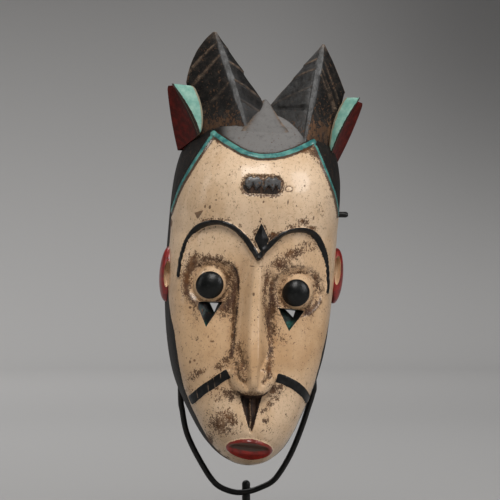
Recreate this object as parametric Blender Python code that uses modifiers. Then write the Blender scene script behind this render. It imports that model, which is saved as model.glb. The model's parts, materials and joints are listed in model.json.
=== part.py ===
"""A carved and painted wooden face mask with two pointed hair lobes, hung on its steel display stand.

World frame: metres, +Z up, the face looks along -Y, +X is the right-hand side of someone facing it.
The origin is the middle of the base plate's underside.

The mask is laid out in carving units: one unit is a three-hundredth of the face's height up the face,
and the same share of its width and depth across and inwards. At the real size a unit is a millimetre.
In that layout x is 0 on the middle line, y is 0 on the back rim and negative towards the viewer,
and z is about 0 at the chin and 300 at the crown.
"""
import math

import bmesh
import bpy
import numpy as np
from mathutils import Vector

for leftover in list(bpy.data.objects):
    bpy.data.objects.remove(leftover, do_unlink=True)

# Driving sizes of the mask
FACE_HEIGHT = 0.3023           # chin to crown, under the two hair lobes
FACE_WIDTH = 0.1424            # across the back rim at eye level
FACE_DEPTH = 0.080             # back rim to the flat of the face
WALL = 0.011                   # wood left round the hollow
LEAN = math.radians(2.4)       # the mask hangs a little to the right
RIM_CLEAR = 0.0032             # from the cradle rod forward to the back rim
CHIN_HEIGHT = 0.090            # underside of the chin above the floor
CHIN_OFFSET = -0.001           # chin to the right of the post

# Driving sizes of the stand
ROD = 0.005                    # thickness of the bent cradle rod
LOOP_DROP = 0.0287             # from the layout's chin down to the rod's middle, at its lowest
POST = 0.007                   # thickness of the post
POST_RISE = 0.0097             # top of the post above the rod's lowest place
POST_INSET = 0.030             # post in front of the plate's back edge
PLATE_WIDTH = 0.150
PLATE_DEPTH = 0.120
PLATE_THICKNESS = 0.008
PLATE_EDGE = 0.0012            # worn edge of the plate
GAP = 0.0003                   # clearance between pieces that touch
PEG_CLEARANCE = 0.0012         # between a peg and its hole in the rim
PEG_HEIGHT = 211.0             # of the two pegs, in carving units above the chin
PEG_INSET = 10.0               # of the pegs in front of the back rim, in carving units
PEG_REACH = 0.0085             # the right peg shows this far outside the wood

# How finely the surfaces are worked out
FACE_GRID = (150, 228)
HOLLOW_GRID = (32, 48)
LOBE_GRID = (72, 56)
FACE_TRIANGLES = 5200
LOBE_TRIANGLES = 440
HOLLOW_TRIANGLES = 520
ROD_STEP = 0.0095

# Carving layout, in carving units
HALF_WIDTH = 71.2
WIDEST = 190.0
CROWN, CHIN = 300.0, -2.3
FLAT_DEPTH = 80.0
BOW = 5.5
LOWER_OVAL, UPPER_OVAL = 2.58, 4.0
JAW = 0.062                    # the jaw is drawn in by this share, between the cheeks and the chin
CHEEK = 1.1                    # the left cheek stands out this much further than the right

UNIT = Vector((FACE_WIDTH / (2 * HALF_WIDTH), FACE_DEPTH / FLAT_DEPTH, FACE_HEIGHT / (CROWN - CHIN)))
POST_BACK = PLATE_DEPTH / 2 - POST_INSET
LOOP_PLANE = POST_BACK - POST / 2 - GAP - ROD / 2
RIM_PLANE = LOOP_PLANE - ROD / 2 - RIM_CLEAR

model, growths, cutters = (bpy.data.collections.new(name) for name in ("baule_mask", "growths", "cutters"))
for group in (model, growths, cutters):
    bpy.context.scene.collection.children.link(group)


def paint(name, colour, roughness, metallic=0.0):
    """A plain Principled finish."""
    material = bpy.data.materials.new(name)
    material.use_nodes = True
    shader = material.node_tree.nodes["Principled BSDF"]
    shader.inputs["Base Color"].default_value = (*colour, 1)
    shader.inputs["Roughness"].default_value = roughness
    shader.inputs["Metallic"].default_value = metallic
    return material


painted_wood = paint("painted_wood", (0.60, 0.44, 0.29), 0.5)
black_steel = paint("black_steel", (0.012, 0.011, 0.010), 0.45, 0.6)


# Small helpers for shapes worked out as arrays

def ease(low, high, value):
    """0 below low, 1 above high, an S curve between."""
    t = np.clip((value - low) / (high - low), 0, 1)
    return t * t * (3 - 2 * t)


def hump(value, middle, spread):
    """A bell curve of height 1."""
    return np.exp(-((value - middle) / spread) ** 2)


def smooth_path(points, steps):
    """A Catmull-Rom curve through the points, with that many steps between neighbours."""
    points = np.asarray(points, float)
    padded = np.vstack([2 * points[0] - points[1], points, 2 * points[-1] - points[-2]])
    t = np.linspace(0, 1, steps, endpoint=False)[:, None]
    spans = []
    for a, b, c, d in zip(padded, padded[1:], padded[2:], padded[3:]):
        spans.append(0.5 * (2 * b + (c - a) * t + (2 * a - 5 * b + 4 * c - d) * t**2 + (3 * b - a - 3 * c + d) * t**3))
    return np.vstack(spans + [points[-1:]])


def smooth_table(value, places, heights):
    """A smooth curve through a few (place, height) pairs, read at every value."""
    slopes = np.gradient(np.asarray(heights, float), places)
    places, heights = np.asarray(places, float), np.asarray(heights, float)
    value = np.clip(value, places[0], places[-1])
    span = np.clip(np.searchsorted(places, value, side="right") - 1, 0, len(places) - 2)
    width = places[span + 1] - places[span]
    t = (value - places[span]) / width
    return (heights[span] * (1 + 2 * t) * (1 - t) ** 2 + slopes[span] * width * t * (1 - t) ** 2
            + heights[span + 1] * t * t * (3 - 2 * t) + slopes[span + 1] * width * t * t * (t - 1))


def distance_to_path(points, path):
    """Distance from each point to the nearest segment of the path."""
    nearest = np.full(len(points), 1e9)
    for start, end in zip(path, path[1:]):
        along = end - start
        t = np.clip((points - start) @ along / (along @ along), 0, 1)
        nearest = np.minimum(nearest, np.linalg.norm(points - start - t[:, None] * along, axis=1))
    return nearest


# The face as a function over a disc

def disc_grid(columns, rows):
    """A square grid bent onto the unit disc, closer together towards the edge."""
    p, q = np.meshgrid(np.linspace(-1, 1, columns), np.linspace(-1, 1, rows))
    east, north = p * np.sqrt(1 - q**2 / 2), q * np.sqrt(1 - p**2 / 2)
    radius = np.hypot(east, north)
    stretch = np.where(radius > 1e-9, np.sin(radius * math.pi / 2) / np.maximum(radius, 1e-9), math.pi / 2)
    return east * stretch, north * stretch


def long_oval(north):
    """The face's half width over a circle's, at a level from -1 at the chin to 1 at the crown."""
    level = np.clip(np.abs(north), 0, 1 - 1e-7)
    oval = np.where(north < 0, LOWER_OVAL, UPPER_OVAL)
    jaw = np.where(north < 0, 1 - JAW * hump(level, 0.816, 0.14), 1)
    return jaw * np.sqrt((1 - level**oval) / (1 - level**2))


def hull(east, north, inset=(0, 0, 0)):
    """Points of the face's smooth form over a disc.

    The disc is stretched to the long oval of the face, and the depth falls from the middle to the rim
    like a superellipse that is fuller towards the chin. inset draws all of it in by a wall.
    """
    x = east * (HALF_WIDTH - inset[0]) * long_oval(north)
    z = WIDEST + north * (np.where(north < 0, WIDEST - CHIN, CROWN - WIDEST) - inset[2])
    radius = np.clip(np.hypot(east, north), 1e-9, 1)
    up = north / radius
    fullness = 2.5 + 3.2 * np.maximum(0, -up) + 0.3 * np.maximum(0, up) ** 2
    depth = FLAT_DEPTH - inset[1] + 14 * hump(z, 232, 42) + 9 * hump(z, 28, 24) * hump(x, 0, 34)
    y = -depth * (1 - radius**fullness) ** (1 / fullness)
    return x - CHEEK * hump(z, 50, 40) * radius**2, y, z


def on_hull(x, z):
    """The point of the smooth form straight behind a place in the front view."""
    north = np.where(z < WIDEST, (z - WIDEST) / (WIDEST - CHIN), (z - WIDEST) / (CROWN - WIDEST))
    across = HALF_WIDTH * long_oval(north)
    east = x / across
    for _ in range(3):
        east = (x + CHEEK * hump(z, 50, 40) * np.minimum(1, east**2 + north**2)) / across
    inside = np.minimum(1, 0.999 / np.maximum(np.hypot(east, north), 1e-9))
    return np.stack(hull(east * inside, north * inside), axis=-1)


def carved_path(points, steps=6):
    """A line carved on the face, given by a few places in the front view."""
    flat = smooth_path(points, steps)
    return on_hull(flat[:, 0], flat[:, 1])


# Carved features, by their places in the front view

EYES = ((-39.8, 147.8), (38.4, 144.4))
EYE_NOTCHES = (
    (((-47.7, 133.6), (-26.0, 134.2), (-38.6, 113.2)), ((-35.6, 132.8), (-29.0, 132.6), (-31.5, 125.2))),
    (((19.6, 131.2), (42.4, 129.8), (29.6, 112.6)), ((27.4, 129.6), (35.6, 129.0), (34.0, 123.4))),
)
BROW_LEFT = ((-63.5, 151), (-63.2, 165), (-60, 177), (-55.5, 188), (-50, 195), (-39.4, 199.4), (-27.7, 197.8),
             (-17.4, 192.2), (-8.7, 184.2), (-4.2, 177.6), (0, 173))
BROW_RIGHT = ((0, 173), (4.2, 177.6), (12.2, 184), (20.2, 190.2), (30, 193.8), (41, 193.7), (49.6, 188.6),
              (56, 179.6), (59.4, 170), (60.6, 158), (61.4, 146))
HAIRLINE = ((-42.5, 272.5), (-34, 266.2), (-21, 259.2), (-10.8, 256), (-1.5, 255), (10.9, 256.8), (21.7, 260.1),
            (31.5, 263.7), (40, 267.5))
TEMPLES = (((-42.5, 272.5), (-49.8, 260.4), (-57, 245.9), (-63.3, 232.2), (-67.3, 220.3), (-69.6, 207)),
           ((40, 267.5), (48, 255.1), (54, 245.5), (59.2, 234.8), (64, 224), (68.6, 211)))
WHISKERS = (((-18, 73.6), (-32.1, 66.6), (-41.9, 60), (-49, 52.5)),
            ((20, 70.3), (32.9, 68.2), (41.4, 63.5), (48.5, 54.5)))
MOUTH = (-1.6, 13.8)


def nose(x, z):
    """A long straight nose: a flat ridge that grows out of the brows, a round tip, two wings and a cut underside."""
    half = smooth_table(z, (59, 64, 70, 77, 85, 98, 120, 145, 168, 182), (6, 10, 13, 14.5, 14, 12.8, 11.2, 9.4, 7.5, 6))
    height = smooth_table(z, (58, 61.5, 66, 73, 83, 98, 120, 150, 172, 184), (0, 6, 14, 17.5, 17, 15, 11, 8, 5, 0))
    share = np.clip(np.abs(x) / half, 0, 1)
    bridge, tip = 1 - ease(0.2, 1.0, share), (1 - share**2) ** 0.8
    ridge = height * (bridge + (tip - bridge) * (1 - ease(78, 98, z)))
    wings = 0
    for side in (-1, 1):
        reach = np.hypot((x - side * 12.8) / 6.4, (z - 76 + 0.35 * (side * x - 13)) / 9.4)
        wings = np.maximum(wings, 10.5 * np.sqrt(np.clip(1 - reach**2, 0, 1)))
    crease = 1.6 * hump(np.abs(x), 8.8 + 0.12 * (z - 75), 1.2) * hump(z, 78, 6)
    groove = 3.6 * hump(np.abs(x), half + 3.6, 3.6) * ease(86, 106, z) * (1 - ease(150, 172, z))
    return np.maximum(ridge, wings) - crease - groove


def eyes(x, z):
    """Round balls standing in carved sockets that run down beside the nose."""
    height = 0
    for side, (eye_x, eye_z) in zip((-1, 1), EYES):
        socket = np.hypot((x - eye_x + side * 2.5) / 23.5, (z - eye_z - 1) / 21.5)
        height = height - 6.2 * (1 - ease(0.55, 1.04, socket))
    for eye_x, eye_z in EYES:
        ball = np.hypot(x - eye_x, z - eye_z)
        height = np.where(ball < 15.4, np.maximum(height, -6.2 + 10.6 * np.sqrt(np.clip(1 - (ball / 15.4) ** 2, 0, 1))),
                          height)
    return height


def brow_plane(x, z):
    """The part of the face under the brows lies a little deeper than the forehead."""
    arch = smooth_table(x, (-62, -53, -40, -20, 0, 20, 38, 52, 62), (170, 191, 199, 193, 172, 193, 196, 187, 168))
    return -3.2 * ease(-1.0, 5.0, arch - z) * ease(84, 130, z) * (1 - ease(50, 64, np.abs(x)))


def lips(x, z):
    """An oval mouth of two lips with a slit between them, under a dent that runs down from the nose."""
    ring = np.hypot((x - MOUTH[0]) / 20.6, (z - MOUTH[1]) / 9.8)
    slit = hump(z, MOUTH[1] + 1.6 - 0.06 * (x - MOUTH[0]), 1.8) * (1 - ease(12, 17, np.abs(x - MOUTH[0])))
    dent_half = 0.6 + 8.4 * np.clip((z - 27) / 30, 0, 1)
    dent = (1 - ease(0.55, 1.0, np.abs(x + 1.0) / dent_half)) * ease(26, 31, z) * (1 - ease(56, 61, z))
    return 2.6 * (1 - ease(0.72, 1.06, ring)) - 2.0 * slit - 2.6 * dent


def raised_line(points, path, half, height):
    """A low rounded ridge along a path."""
    return height * (1 - ease(half * 0.55, half, distance_to_path(points, path)))


def scar_blocks(x, z):
    """Two raised scars side by side on the forehead, each round on top with three teeth below."""
    height = 0
    for middle in (-9.8, 5.4):
        across = np.abs(x - middle)
        top = 237.4 - 3.0 * (across / 7.0) ** 2
        teeth = 225.0 + 3.2 * np.abs(np.mod((x - middle) / 5.1 + 1.0, 1.0) - 0.5) * 2
        inside = np.minimum(np.minimum(7.2 - across, top - z), z - teeth)
        height = height + 2.4 * ease(-0.4, 1.2, inside)
    return height


def brow_jewel(x, z):
    """A four-sided pyramid between the brows."""
    return 4.2 * np.clip(1.1 - np.abs(x - 1.2 + 0.12 * (z - 187)) / 6.2 - np.abs(z - 187) / 13.4, 0, 1)


def carve(base):
    """Height of the carving above the smooth form, in carving units, for points of that form."""
    x, _, z = base.T
    height = nose(x, z) + eyes(x, z) + brow_plane(x, z) + lips(x, z) + scar_blocks(x, z) + brow_jewel(x, z)
    for brow in (BROW_LEFT, BROW_RIGHT):
        height = height + raised_line(base, carved_path(brow), 2.6, 1.6)
    for line in (HAIRLINE, *TEMPLES):
        height = height + raised_line(base, carved_path(line), 3.0, 1.0)
    for whisker in WHISKERS:
        height = height + raised_line(base, carved_path(whisker), 4.4, 0.9)
    return height


# From carving units to the room

def hang(points):
    """Place points of the carving layout in the room: bowed, scaled, leaning, and in front of the post."""
    points = np.array(points, float)
    drift = np.clip((points[..., 2] - 110) / 190, -1, 1)
    points[..., 0] -= BOW * np.cos(drift * math.pi / 2) ** 2
    x, y, z = (points * np.array(UNIT)).reshape(-1, 3).T
    across = CHIN_OFFSET + x * math.cos(LEAN) + z * math.sin(LEAN)
    up = CHIN_HEIGHT - x * math.sin(LEAN) + z * math.cos(LEAN)
    return np.stack([across, y + RIM_PLANE, up], axis=-1).reshape(points.shape)


def as_guide(made, collection):
    """Put an object where it only adds to the mask or cuts it."""
    for owner in made.users_collection:
        owner.objects.unlink(made)
    collection.objects.link(made)
    made.hide_render = True
    made.display_type = "WIRE"
    return made


def new_object(name, vertices, faces):
    """A mesh object, with its faces turned outwards."""
    mesh = bpy.data.meshes.new(name)
    mesh.from_pydata([tuple(v) for v in vertices], [], faces)
    edit = bmesh.new()
    edit.from_mesh(mesh)
    bmesh.ops.recalc_face_normals(edit, faces=edit.faces)
    edit.to_mesh(mesh)
    edit.free()
    mesh.materials.append(painted_wood)
    return bpy.data.objects.new(name, mesh)


def grid_faces(columns, rows):
    """Quads of a grid whose points are numbered row by row."""
    index = np.arange(columns * rows).reshape(rows, columns)
    return np.stack([index[:-1, :-1], index[:-1, 1:], index[1:, 1:], index[1:, :-1]], axis=-1).reshape(-1, 4).tolist()


def grid_edge(columns, rows):
    """The numbers of the points round the edge of such a grid, in order."""
    index = np.arange(columns * rows).reshape(rows, columns)
    return [*index[0, :-1], *index[:-1, -1], *index[-1, :0:-1], *index[:0:-1, 0]]


def loft(name, rows):
    """A closed solid through rows of points, one ring after another, with flat ends."""
    rings, around, _ = rows.shape
    faces = []
    for ring in range(rings - 1):
        for step in range(around):
            a, b = ring * around + step, ring * around + (step + 1) % around
            faces.append((a, b, b + around, a + around))
    faces.append(tuple(range(around)))
    faces.append(tuple(range((rings - 1) * around, rings * around)))
    return new_object(name, hang(rows).reshape(-1, 3), faces)


def lighten(made, triangles):
    """Thin out a finely worked mesh to about that many triangles, keeping them where it curves."""
    made.data.calc_loop_triangles()
    step = made.modifiers.new("lighten", "DECIMATE")
    step.ratio = min(1, triangles / len(made.data.loop_triangles))
    step.use_collapse_triangulate = True
    return made


def join(target, group, operation):
    """Add or cut all the shapes of a collection with the exact Boolean."""
    step = target.modifiers.new(group.name, "BOOLEAN")
    step.operation = operation
    step.operand_type = "COLLECTION"
    step.collection = group


# The wooden face, solid at first

def make_face():
    """The outer skin of the face over its grid, closed by the flat back."""
    columns, rows = FACE_GRID
    base = np.stack(hull(*disc_grid(columns, rows)), axis=-1)
    normal = np.cross(np.gradient(base, axis=1), np.gradient(base, axis=0))
    normal /= np.maximum(np.linalg.norm(normal, axis=2, keepdims=True), 1e-9)
    flat = base.reshape(-1, 3)
    height = carve(flat) * ease(0.5, 6.0, -flat[:, 1])
    skin = flat + height[:, None] * normal.reshape(-1, 3)
    made = new_object("mask", hang(skin), grid_faces(columns, rows) + [grid_edge(columns, rows)])
    return lighten(made, FACE_TRIANGLES)


def make_hollow():
    """The space behind the face: the smooth form drawn in by the wall, run out past the back rim.

    The wall is left thicker behind the eyes, where the holes go through.
    """
    columns, rows = HOLLOW_GRID
    inset = [WALL / share for share in UNIT]
    inner = np.stack(hull(*disc_grid(columns, rows), inset), axis=-1).reshape(-1, 3)
    inner[:, 1] += 6 * hump(np.abs(inner[:, 0]), 34, 17) * hump(inner[:, 2], 126, 16)
    ring = grid_edge(columns, rows)
    behind = inner[ring] + np.array((0, 12, 0))
    first = len(inner)
    faces = grid_faces(columns, rows)
    for step, corner in enumerate(ring):
        following = (step + 1) % len(ring)
        faces.append((corner, ring[following], first + following, first + step))
    faces.append(tuple(range(first, first + len(ring))))
    return lighten(new_object("hollow", hang(np.vstack([inner, behind])), faces), HOLLOW_TRIANGLES)


# Two pointed lobes of hair

def make_lobe(name, side, tip, ridge, inner, wide, belly, corner):
    """A four-sided pyramid that leans outwards, with overlapping layers down both front faces.

    The front ridge and the inner edge run straight from the base to the tip, and the outer edge
    bellies out to a corner, below which it draws in again. ridge and inner are the places of those
    edges at the crown's height, wide is the outer edge's reach and corner the height of its corner.
    """
    around, rings = LOBE_GRID
    low, share = 262.0, np.linspace(0, 0.985, rings)
    z = low + (tip[1] - low) * share
    crown_share = (CROWN - low) / (tip[1] - low)

    def straight(at_crown, at_tip):
        return at_crown + (at_tip - at_crown) * (share - crown_share) / (1 - crown_share)

    drawn_in = (wide - 57) * np.clip((corner - z) / (corner - low), 0, 1) ** 0.8
    outer = tip[0] + (wide - tip[0]) * (1 - share**belly) - drawn_in
    inner_x = np.maximum(straight(inner, tip[0]), -6)
    corners = np.stack([
        np.stack([straight(ridge, tip[0]), -66 + 26 * share, z], axis=-1),
        np.stack([outer, -35 - 3 * share, z], axis=-1),
        np.stack([tip[0] + (36 - tip[0]) * (1 - share), -6 - 29 * share, z], axis=-1),
        np.stack([inner_x, -38 - 1 * share, z], axis=-1)], axis=1)
    per_side = around // 4
    sides = []
    for number in range(4):
        t = (np.arange(per_side) / per_side)[None, :, None]
        start, end = corners[:, number, None], corners[:, (number + 1) % 4, None]
        sides.append(start + (end - start) * t)
    rows = np.concatenate(sides, axis=1)
    middle = corners.mean(axis=1, keepdims=True)
    outward = rows - middle
    width = np.maximum(np.linalg.norm(outward, axis=2), 1e-6)
    corner_round = np.abs(np.mod(np.arange(around) / per_side + 0.5, 1) - 0.5) * 2
    belly_out = 0.10 * (1 - corner_round) - 0.03 * corner_round
    away = np.abs(rows[:, :, 0] - corners[:, 0, None, 0])
    slope = np.where(np.arange(around) < per_side, 0.95, 0.68)[None, :]
    front = (np.arange(around) < per_side) | (np.arange(around) > 3 * per_side)
    layer = np.mod((rows[:, :, 2] + slope * away - tip[1] + 6) / 15.5, 1)
    step = np.where(front[None, :], 2.0 * layer - 1.0, 0) * np.minimum(1, width / 22)
    rows = middle + outward * (1 + belly_out[None, :, None] + (step / width)[:, :, None])
    rows[:, :, 2] = z[:, None]
    rows[:, :, 0] *= side
    return lighten(loft(name, rows), LOBE_TRIANGLES)


def make_parting():
    """The flat three-cornered face that runs from the hairline up to the valley between the lobes."""
    rows = []
    for z, left, right, front in ((262, -16, 14, -64), (270, -21.5, 19, -67.5), (277, -20, 18.2, -66),
                                  (284, -14.4, 13, -60), (292, -8.8, 8.4, -52), (300, -2.6, 4.2, -43),
                                  (304, -0.6, 1.6, -38)):
        middle = (left + right) / 2
        rows.append(((left, front + 3, z), (middle, front, z), (right, front + 3, z), (right, -20, z), (left, -20, z)))
    return loft("parting", np.array(rows))


# Two pods, like an animal's ears, beside the lobes

def make_pod(name, side, top, bottom):
    """A pod that widens upwards to a flat cut top, with a full front face and a scooped outer face.

    top and bottom name four edges: inner front, middle front, outer, and back.
    """
    share = np.linspace(0, 1, 9)[:, None]
    swell = 4 * share * (1 - share)
    bulges = ((-3.2, -1.0, 0), (0, -1.5, 0), (1.2, 1.5, 0), (0, 2, 0))
    inner, middle, outer, back = (np.array(low) + (np.array(high) - np.array(low)) * share + swell * np.array(bulge)
                                  for high, low, bulge in zip(top, bottom, bulges))
    scoop = []
    for t in np.linspace(0, 1, 7)[:-1]:
        dip = 4 * t * (1 - t) * (1.2 + 3.2 * share)
        scoop.append(middle + (outer - middle) * t + dip * np.array((-0.72, 0.69, 0)))
    front = inner * 0.5 + middle * 0.5 + swell * np.array((0, -1.2, 0))
    ring = [inner, front, *scoop, outer, (outer + back) / 2, back, (back + inner) / 2]
    rows = np.stack(ring, axis=1)
    rows[:, :, 0] *= side
    return loft(name, rows)


# Ears

def make_ear(name, side, height, scoop):
    """An oval lug on the side of the head, or the smaller oval that hollows its front."""
    size, middle = ((7.0, 13.0, 23.5), (70.6, -20.0)) if not scoop else ((4.2, 9.0, 15.5), (74.0, -29.0))
    edit = bmesh.new()
    bmesh.ops.create_uvsphere(edit, u_segments=14, v_segments=10, radius=1.0)
    points = np.array([v.co for v in edit.verts]) * np.array(size)
    points += np.array((side * (middle[0] + 0.9 * side), middle[1], height))
    for vertex, point in zip(edit.verts, hang(points)):
        vertex.co = point
    mesh = bpy.data.meshes.new(name)
    edit.to_mesh(mesh)
    edit.free()
    return bpy.data.objects.new(name, mesh)


# Holes through the wood

def make_notch(name, wide, narrow):
    """A three-cornered hole under an eye that narrows from the face to the hollow."""
    wide, narrow = np.array(wide), np.array(narrow)
    middle = wide.mean(axis=0)
    rows = []
    for y, outline in ((-100, middle + (wide - middle) * 1.05), (-70.5, wide), (-62.5, narrow), (-20, narrow)):
        rows.append(np.column_stack([outline[:, 0], np.full(3, y), outline[:, 1]]))
    return loft(name, np.array(rows))


def rod_between(name, start, end, thickness, sides=16):
    """A straight round bar from one point to another."""
    start, end = Vector(start), Vector(end)
    bpy.ops.mesh.primitive_cylinder_add(vertices=sides, radius=thickness / 2, depth=(end - start).length,
                                        location=(start + end) / 2)
    bar = bpy.context.object
    bar.name = name
    bar.rotation_euler = (end - start).to_track_quat("Z", "Y").to_euler()
    return bar


def wood_side(side):
    """Where the outside of the wood is at the height of the pegs, as a point in the room."""
    return hang(np.array((side * HALF_WIDTH, -PEG_INSET, PEG_HEIGHT)))


def make_mask():
    """One solid: face, lobes, pods and ears, with the hollow, the eye holes and the peg holes taken out."""
    mask = make_face()
    model.objects.link(mask)
    as_guide(make_lobe("left_lobe", -1, (44.5, 359.6), 24.0, -0.6, 70.1, 4.6, 315), growths)
    as_guide(make_lobe("right_lobe", 1, (47.1, 353.6), 37.9, 2.7, 79.3, 1.9, 313), growths)
    as_guide(make_parting(), growths)
    as_guide(make_pod("left_pod", -1,
                      ((60.5, -45, 312), (80.0, -49, 313), (82.5, -40, 311.5), (66, -22, 310)),
                      ((52, -44, 276), (54.5, -47, 272), (69.5, -16, 259), (54, -8, 260))), growths)
    as_guide(make_pod("right_pod", 1,
                      ((66.4, -45, 308.5), (78.5, -53, 308.5), (82.5, -40, 304.5), (68, -22, 306)),
                      ((55.5, -42, 268), (57.5, -45, 262), (65.5, -16, 253), (54, -8, 254))), growths)
    as_guide(make_hollow(), cutters)
    for side, word, height, notch in zip((-1, 1), ("left", "right"), (155.0, 159.0), EYE_NOTCHES):
        as_guide(make_ear(f"{word}_ear", side, height, False), growths)
        as_guide(make_ear(f"{word}_ear_scoop", side, height, True), cutters)
        as_guide(make_notch(f"{word}_eye_notch", *notch), cutters)
        point = wood_side(side)
        start, end = point - np.array((side * 3 * WALL, 0, 0)), point + np.array((side * 2 * WALL, 0, 0))
        as_guide(rod_between(f"{word}_peg_hole", start, end, ROD + 2 * PEG_CLEARANCE), cutters)
    join(mask, growths, "UNION")
    join(mask, cutters, "DIFFERENCE")
    close = mask.modifiers.new("close", "WELD")
    close.merge_threshold = 0.00005


# The stand

def cradle_route():
    """The bent rod: a peg in the left wall, down inside the mask, round under the chin, and up to the right peg.

    The free loop is given in carving units from the post and above its own lowest place. The upper
    runs are given in the mask's layout, by their distance in from the wall, depth and height.
    """
    loop = ((-56.4, 83.7), (-55.0, 69.7), (-51.8, 52.9), (-46.3, 39.3), (-39.0, 25.6), (-30.5, 12.0), (-22.6, 4.5),
            (-10, 0), (2, 0.6), (13, 4.3), (22.4, 9.3), (30.0, 18.8), (37.8, 32.4), (43.8, 46.1),
            (48.9, 59.8), (52.6, 71.2), (56.4, 83.1), (57.6, 94.0))
    lowest = CHIN_HEIGHT - LOOP_DROP
    free = [(x * UNIT.x, LOOP_PLANE, lowest + z * UNIT.z) for x, z in loop]
    behind = (LOOP_PLANE - RIM_PLANE) / UNIT.y
    inner = HALF_WIDTH - (WALL + ROD / 2) / UNIT.x
    upper = ((3.0, behind, 112), (6.0, 0, 140), (7.8, -7, 172), (8.4, -9.6, 192), (7.8, -PEG_INSET, 201),
             (6.2, -PEG_INSET, 206.4), (3.4, -PEG_INSET, 209.6))
    arms = []
    for side in (-1, 1):
        run = [tuple(hang(np.array((side * (inner - away), y, z)))) for away, y, z in upper]
        peg = wood_side(side)
        run.append(tuple(peg - np.array((side * 0.75 * WALL, 0, 0))))
        run.append(tuple(peg + np.array((side * (PEG_REACH if side > 0 else -0.25 * WALL), 0, 0))))
        arms.append(run)
    left, right = arms
    return [*reversed(left), *free, *right]


def even_points(path, step):
    """The same curve with its points an even step apart."""
    lengths = np.concatenate([[0], np.cumsum(np.linalg.norm(np.diff(path, axis=0), axis=1))])
    places = np.linspace(0, lengths[-1], int(lengths[-1] / step) + 1)
    return np.stack([np.interp(places, lengths, path[:, axis]) for axis in range(3)], axis=-1)


def make_cradle():
    """The rod as a poly spline with a round bevel."""
    points = even_points(smooth_path(cradle_route(), 12), ROD_STEP)
    curve = bpy.data.curves.new("cradle_loop", "CURVE")
    curve.dimensions = "3D"
    spline = curve.splines.new("POLY")
    spline.points.add(len(points) - 1)
    for point, place in zip(spline.points, points):
        point.co = (*place, 1)
    curve.bevel_depth = ROD / 2
    curve.bevel_resolution = 2
    curve.use_fill_caps = True
    curve.materials.append(black_steel)
    model.objects.link(bpy.data.objects.new("cradle_loop", curve))


def make_post():
    """A turned bar with a rounded top, standing on the plate."""
    half, low, top = POST / 2, PLATE_THICKNESS + GAP, CHIN_HEIGHT - LOOP_DROP + POST_RISE
    arc = [(half * math.cos(a), top - half + half * math.sin(a)) for a in np.linspace(math.pi / 2, 0, 6)]
    profile = [(0, top), *arc[1:], (half, low), (0, low)]
    mesh = bpy.data.meshes.new("post")
    mesh.from_pydata([(x, 0, z) for x, z in profile], [(n, n + 1) for n in range(len(profile) - 1)], [])
    mesh.materials.append(black_steel)
    post = bpy.data.objects.new("post", mesh)
    post.location = (0, POST_BACK, 0)
    model.objects.link(post)
    turn = post.modifiers.new("turn", "SCREW")
    turn.steps = turn.render_steps = 20
    turn.use_merge_vertices = True
    turn.merge_threshold = 0.00001


def make_plate():
    """The steel foot."""
    bpy.ops.mesh.primitive_cube_add(size=1, location=(0, 0, PLATE_THICKNESS / 2))
    plate = bpy.context.object
    plate.name = "base_plate"
    for vertex in plate.data.vertices:
        vertex.co = (vertex.co.x * PLATE_WIDTH, vertex.co.y * PLATE_DEPTH, vertex.co.z * PLATE_THICKNESS)
    soften = plate.modifiers.new("soften", "BEVEL")
    soften.width = PLATE_EDGE
    soften.segments = 2
    plate.data.materials.append(black_steel)
    for owner in plate.users_collection:
        owner.objects.unlink(plate)
    model.objects.link(plate)


make_mask()
make_cradle()
make_post()
make_plate()
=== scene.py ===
# %% [markdown]
# # A painted wooden face mask with two hair lobes, on its steel stand
# The mask is one piece of carved wood, hollow behind, painted cream, black, turquoise and red, and worn.
# It hangs in the loop of a bent black rod that a short post carries above a steel plate.
# The imported model gives every size, so the script starts by loading it.

import json
import math
from functools import reduce

import bmesh
import bpy
import numpy as np
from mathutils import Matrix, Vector

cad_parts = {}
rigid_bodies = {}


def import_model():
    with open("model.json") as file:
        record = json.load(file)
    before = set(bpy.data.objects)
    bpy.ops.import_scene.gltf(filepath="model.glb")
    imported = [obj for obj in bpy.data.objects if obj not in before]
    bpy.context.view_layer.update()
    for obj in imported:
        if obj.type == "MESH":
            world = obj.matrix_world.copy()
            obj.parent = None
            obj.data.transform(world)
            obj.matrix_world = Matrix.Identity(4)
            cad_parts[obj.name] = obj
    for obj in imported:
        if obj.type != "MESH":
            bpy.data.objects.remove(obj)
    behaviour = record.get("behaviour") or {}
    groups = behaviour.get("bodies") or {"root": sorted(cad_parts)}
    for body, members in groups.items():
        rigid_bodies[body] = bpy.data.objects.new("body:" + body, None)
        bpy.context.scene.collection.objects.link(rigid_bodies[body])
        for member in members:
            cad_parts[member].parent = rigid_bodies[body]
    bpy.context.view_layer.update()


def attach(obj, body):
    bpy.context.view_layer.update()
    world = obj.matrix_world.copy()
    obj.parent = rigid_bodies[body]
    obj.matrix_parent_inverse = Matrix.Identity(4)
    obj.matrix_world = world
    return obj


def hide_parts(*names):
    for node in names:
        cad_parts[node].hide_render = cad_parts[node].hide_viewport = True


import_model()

# %% [markdown]
# ## The camera
# The photograph was taken from about the height of the eyes with a long lens, five degrees to the left
# of the mask's own middle line. The lens follows from how wide the picture is at the mask.

# %% Camera
TARGET = Vector((-0.001, -0.020, 0.2679))
CAMERA_DISTANCE = 2.0
PICTURE_WIDTH = 0.41763
CAMERA_TURN = math.radians(5)

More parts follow.
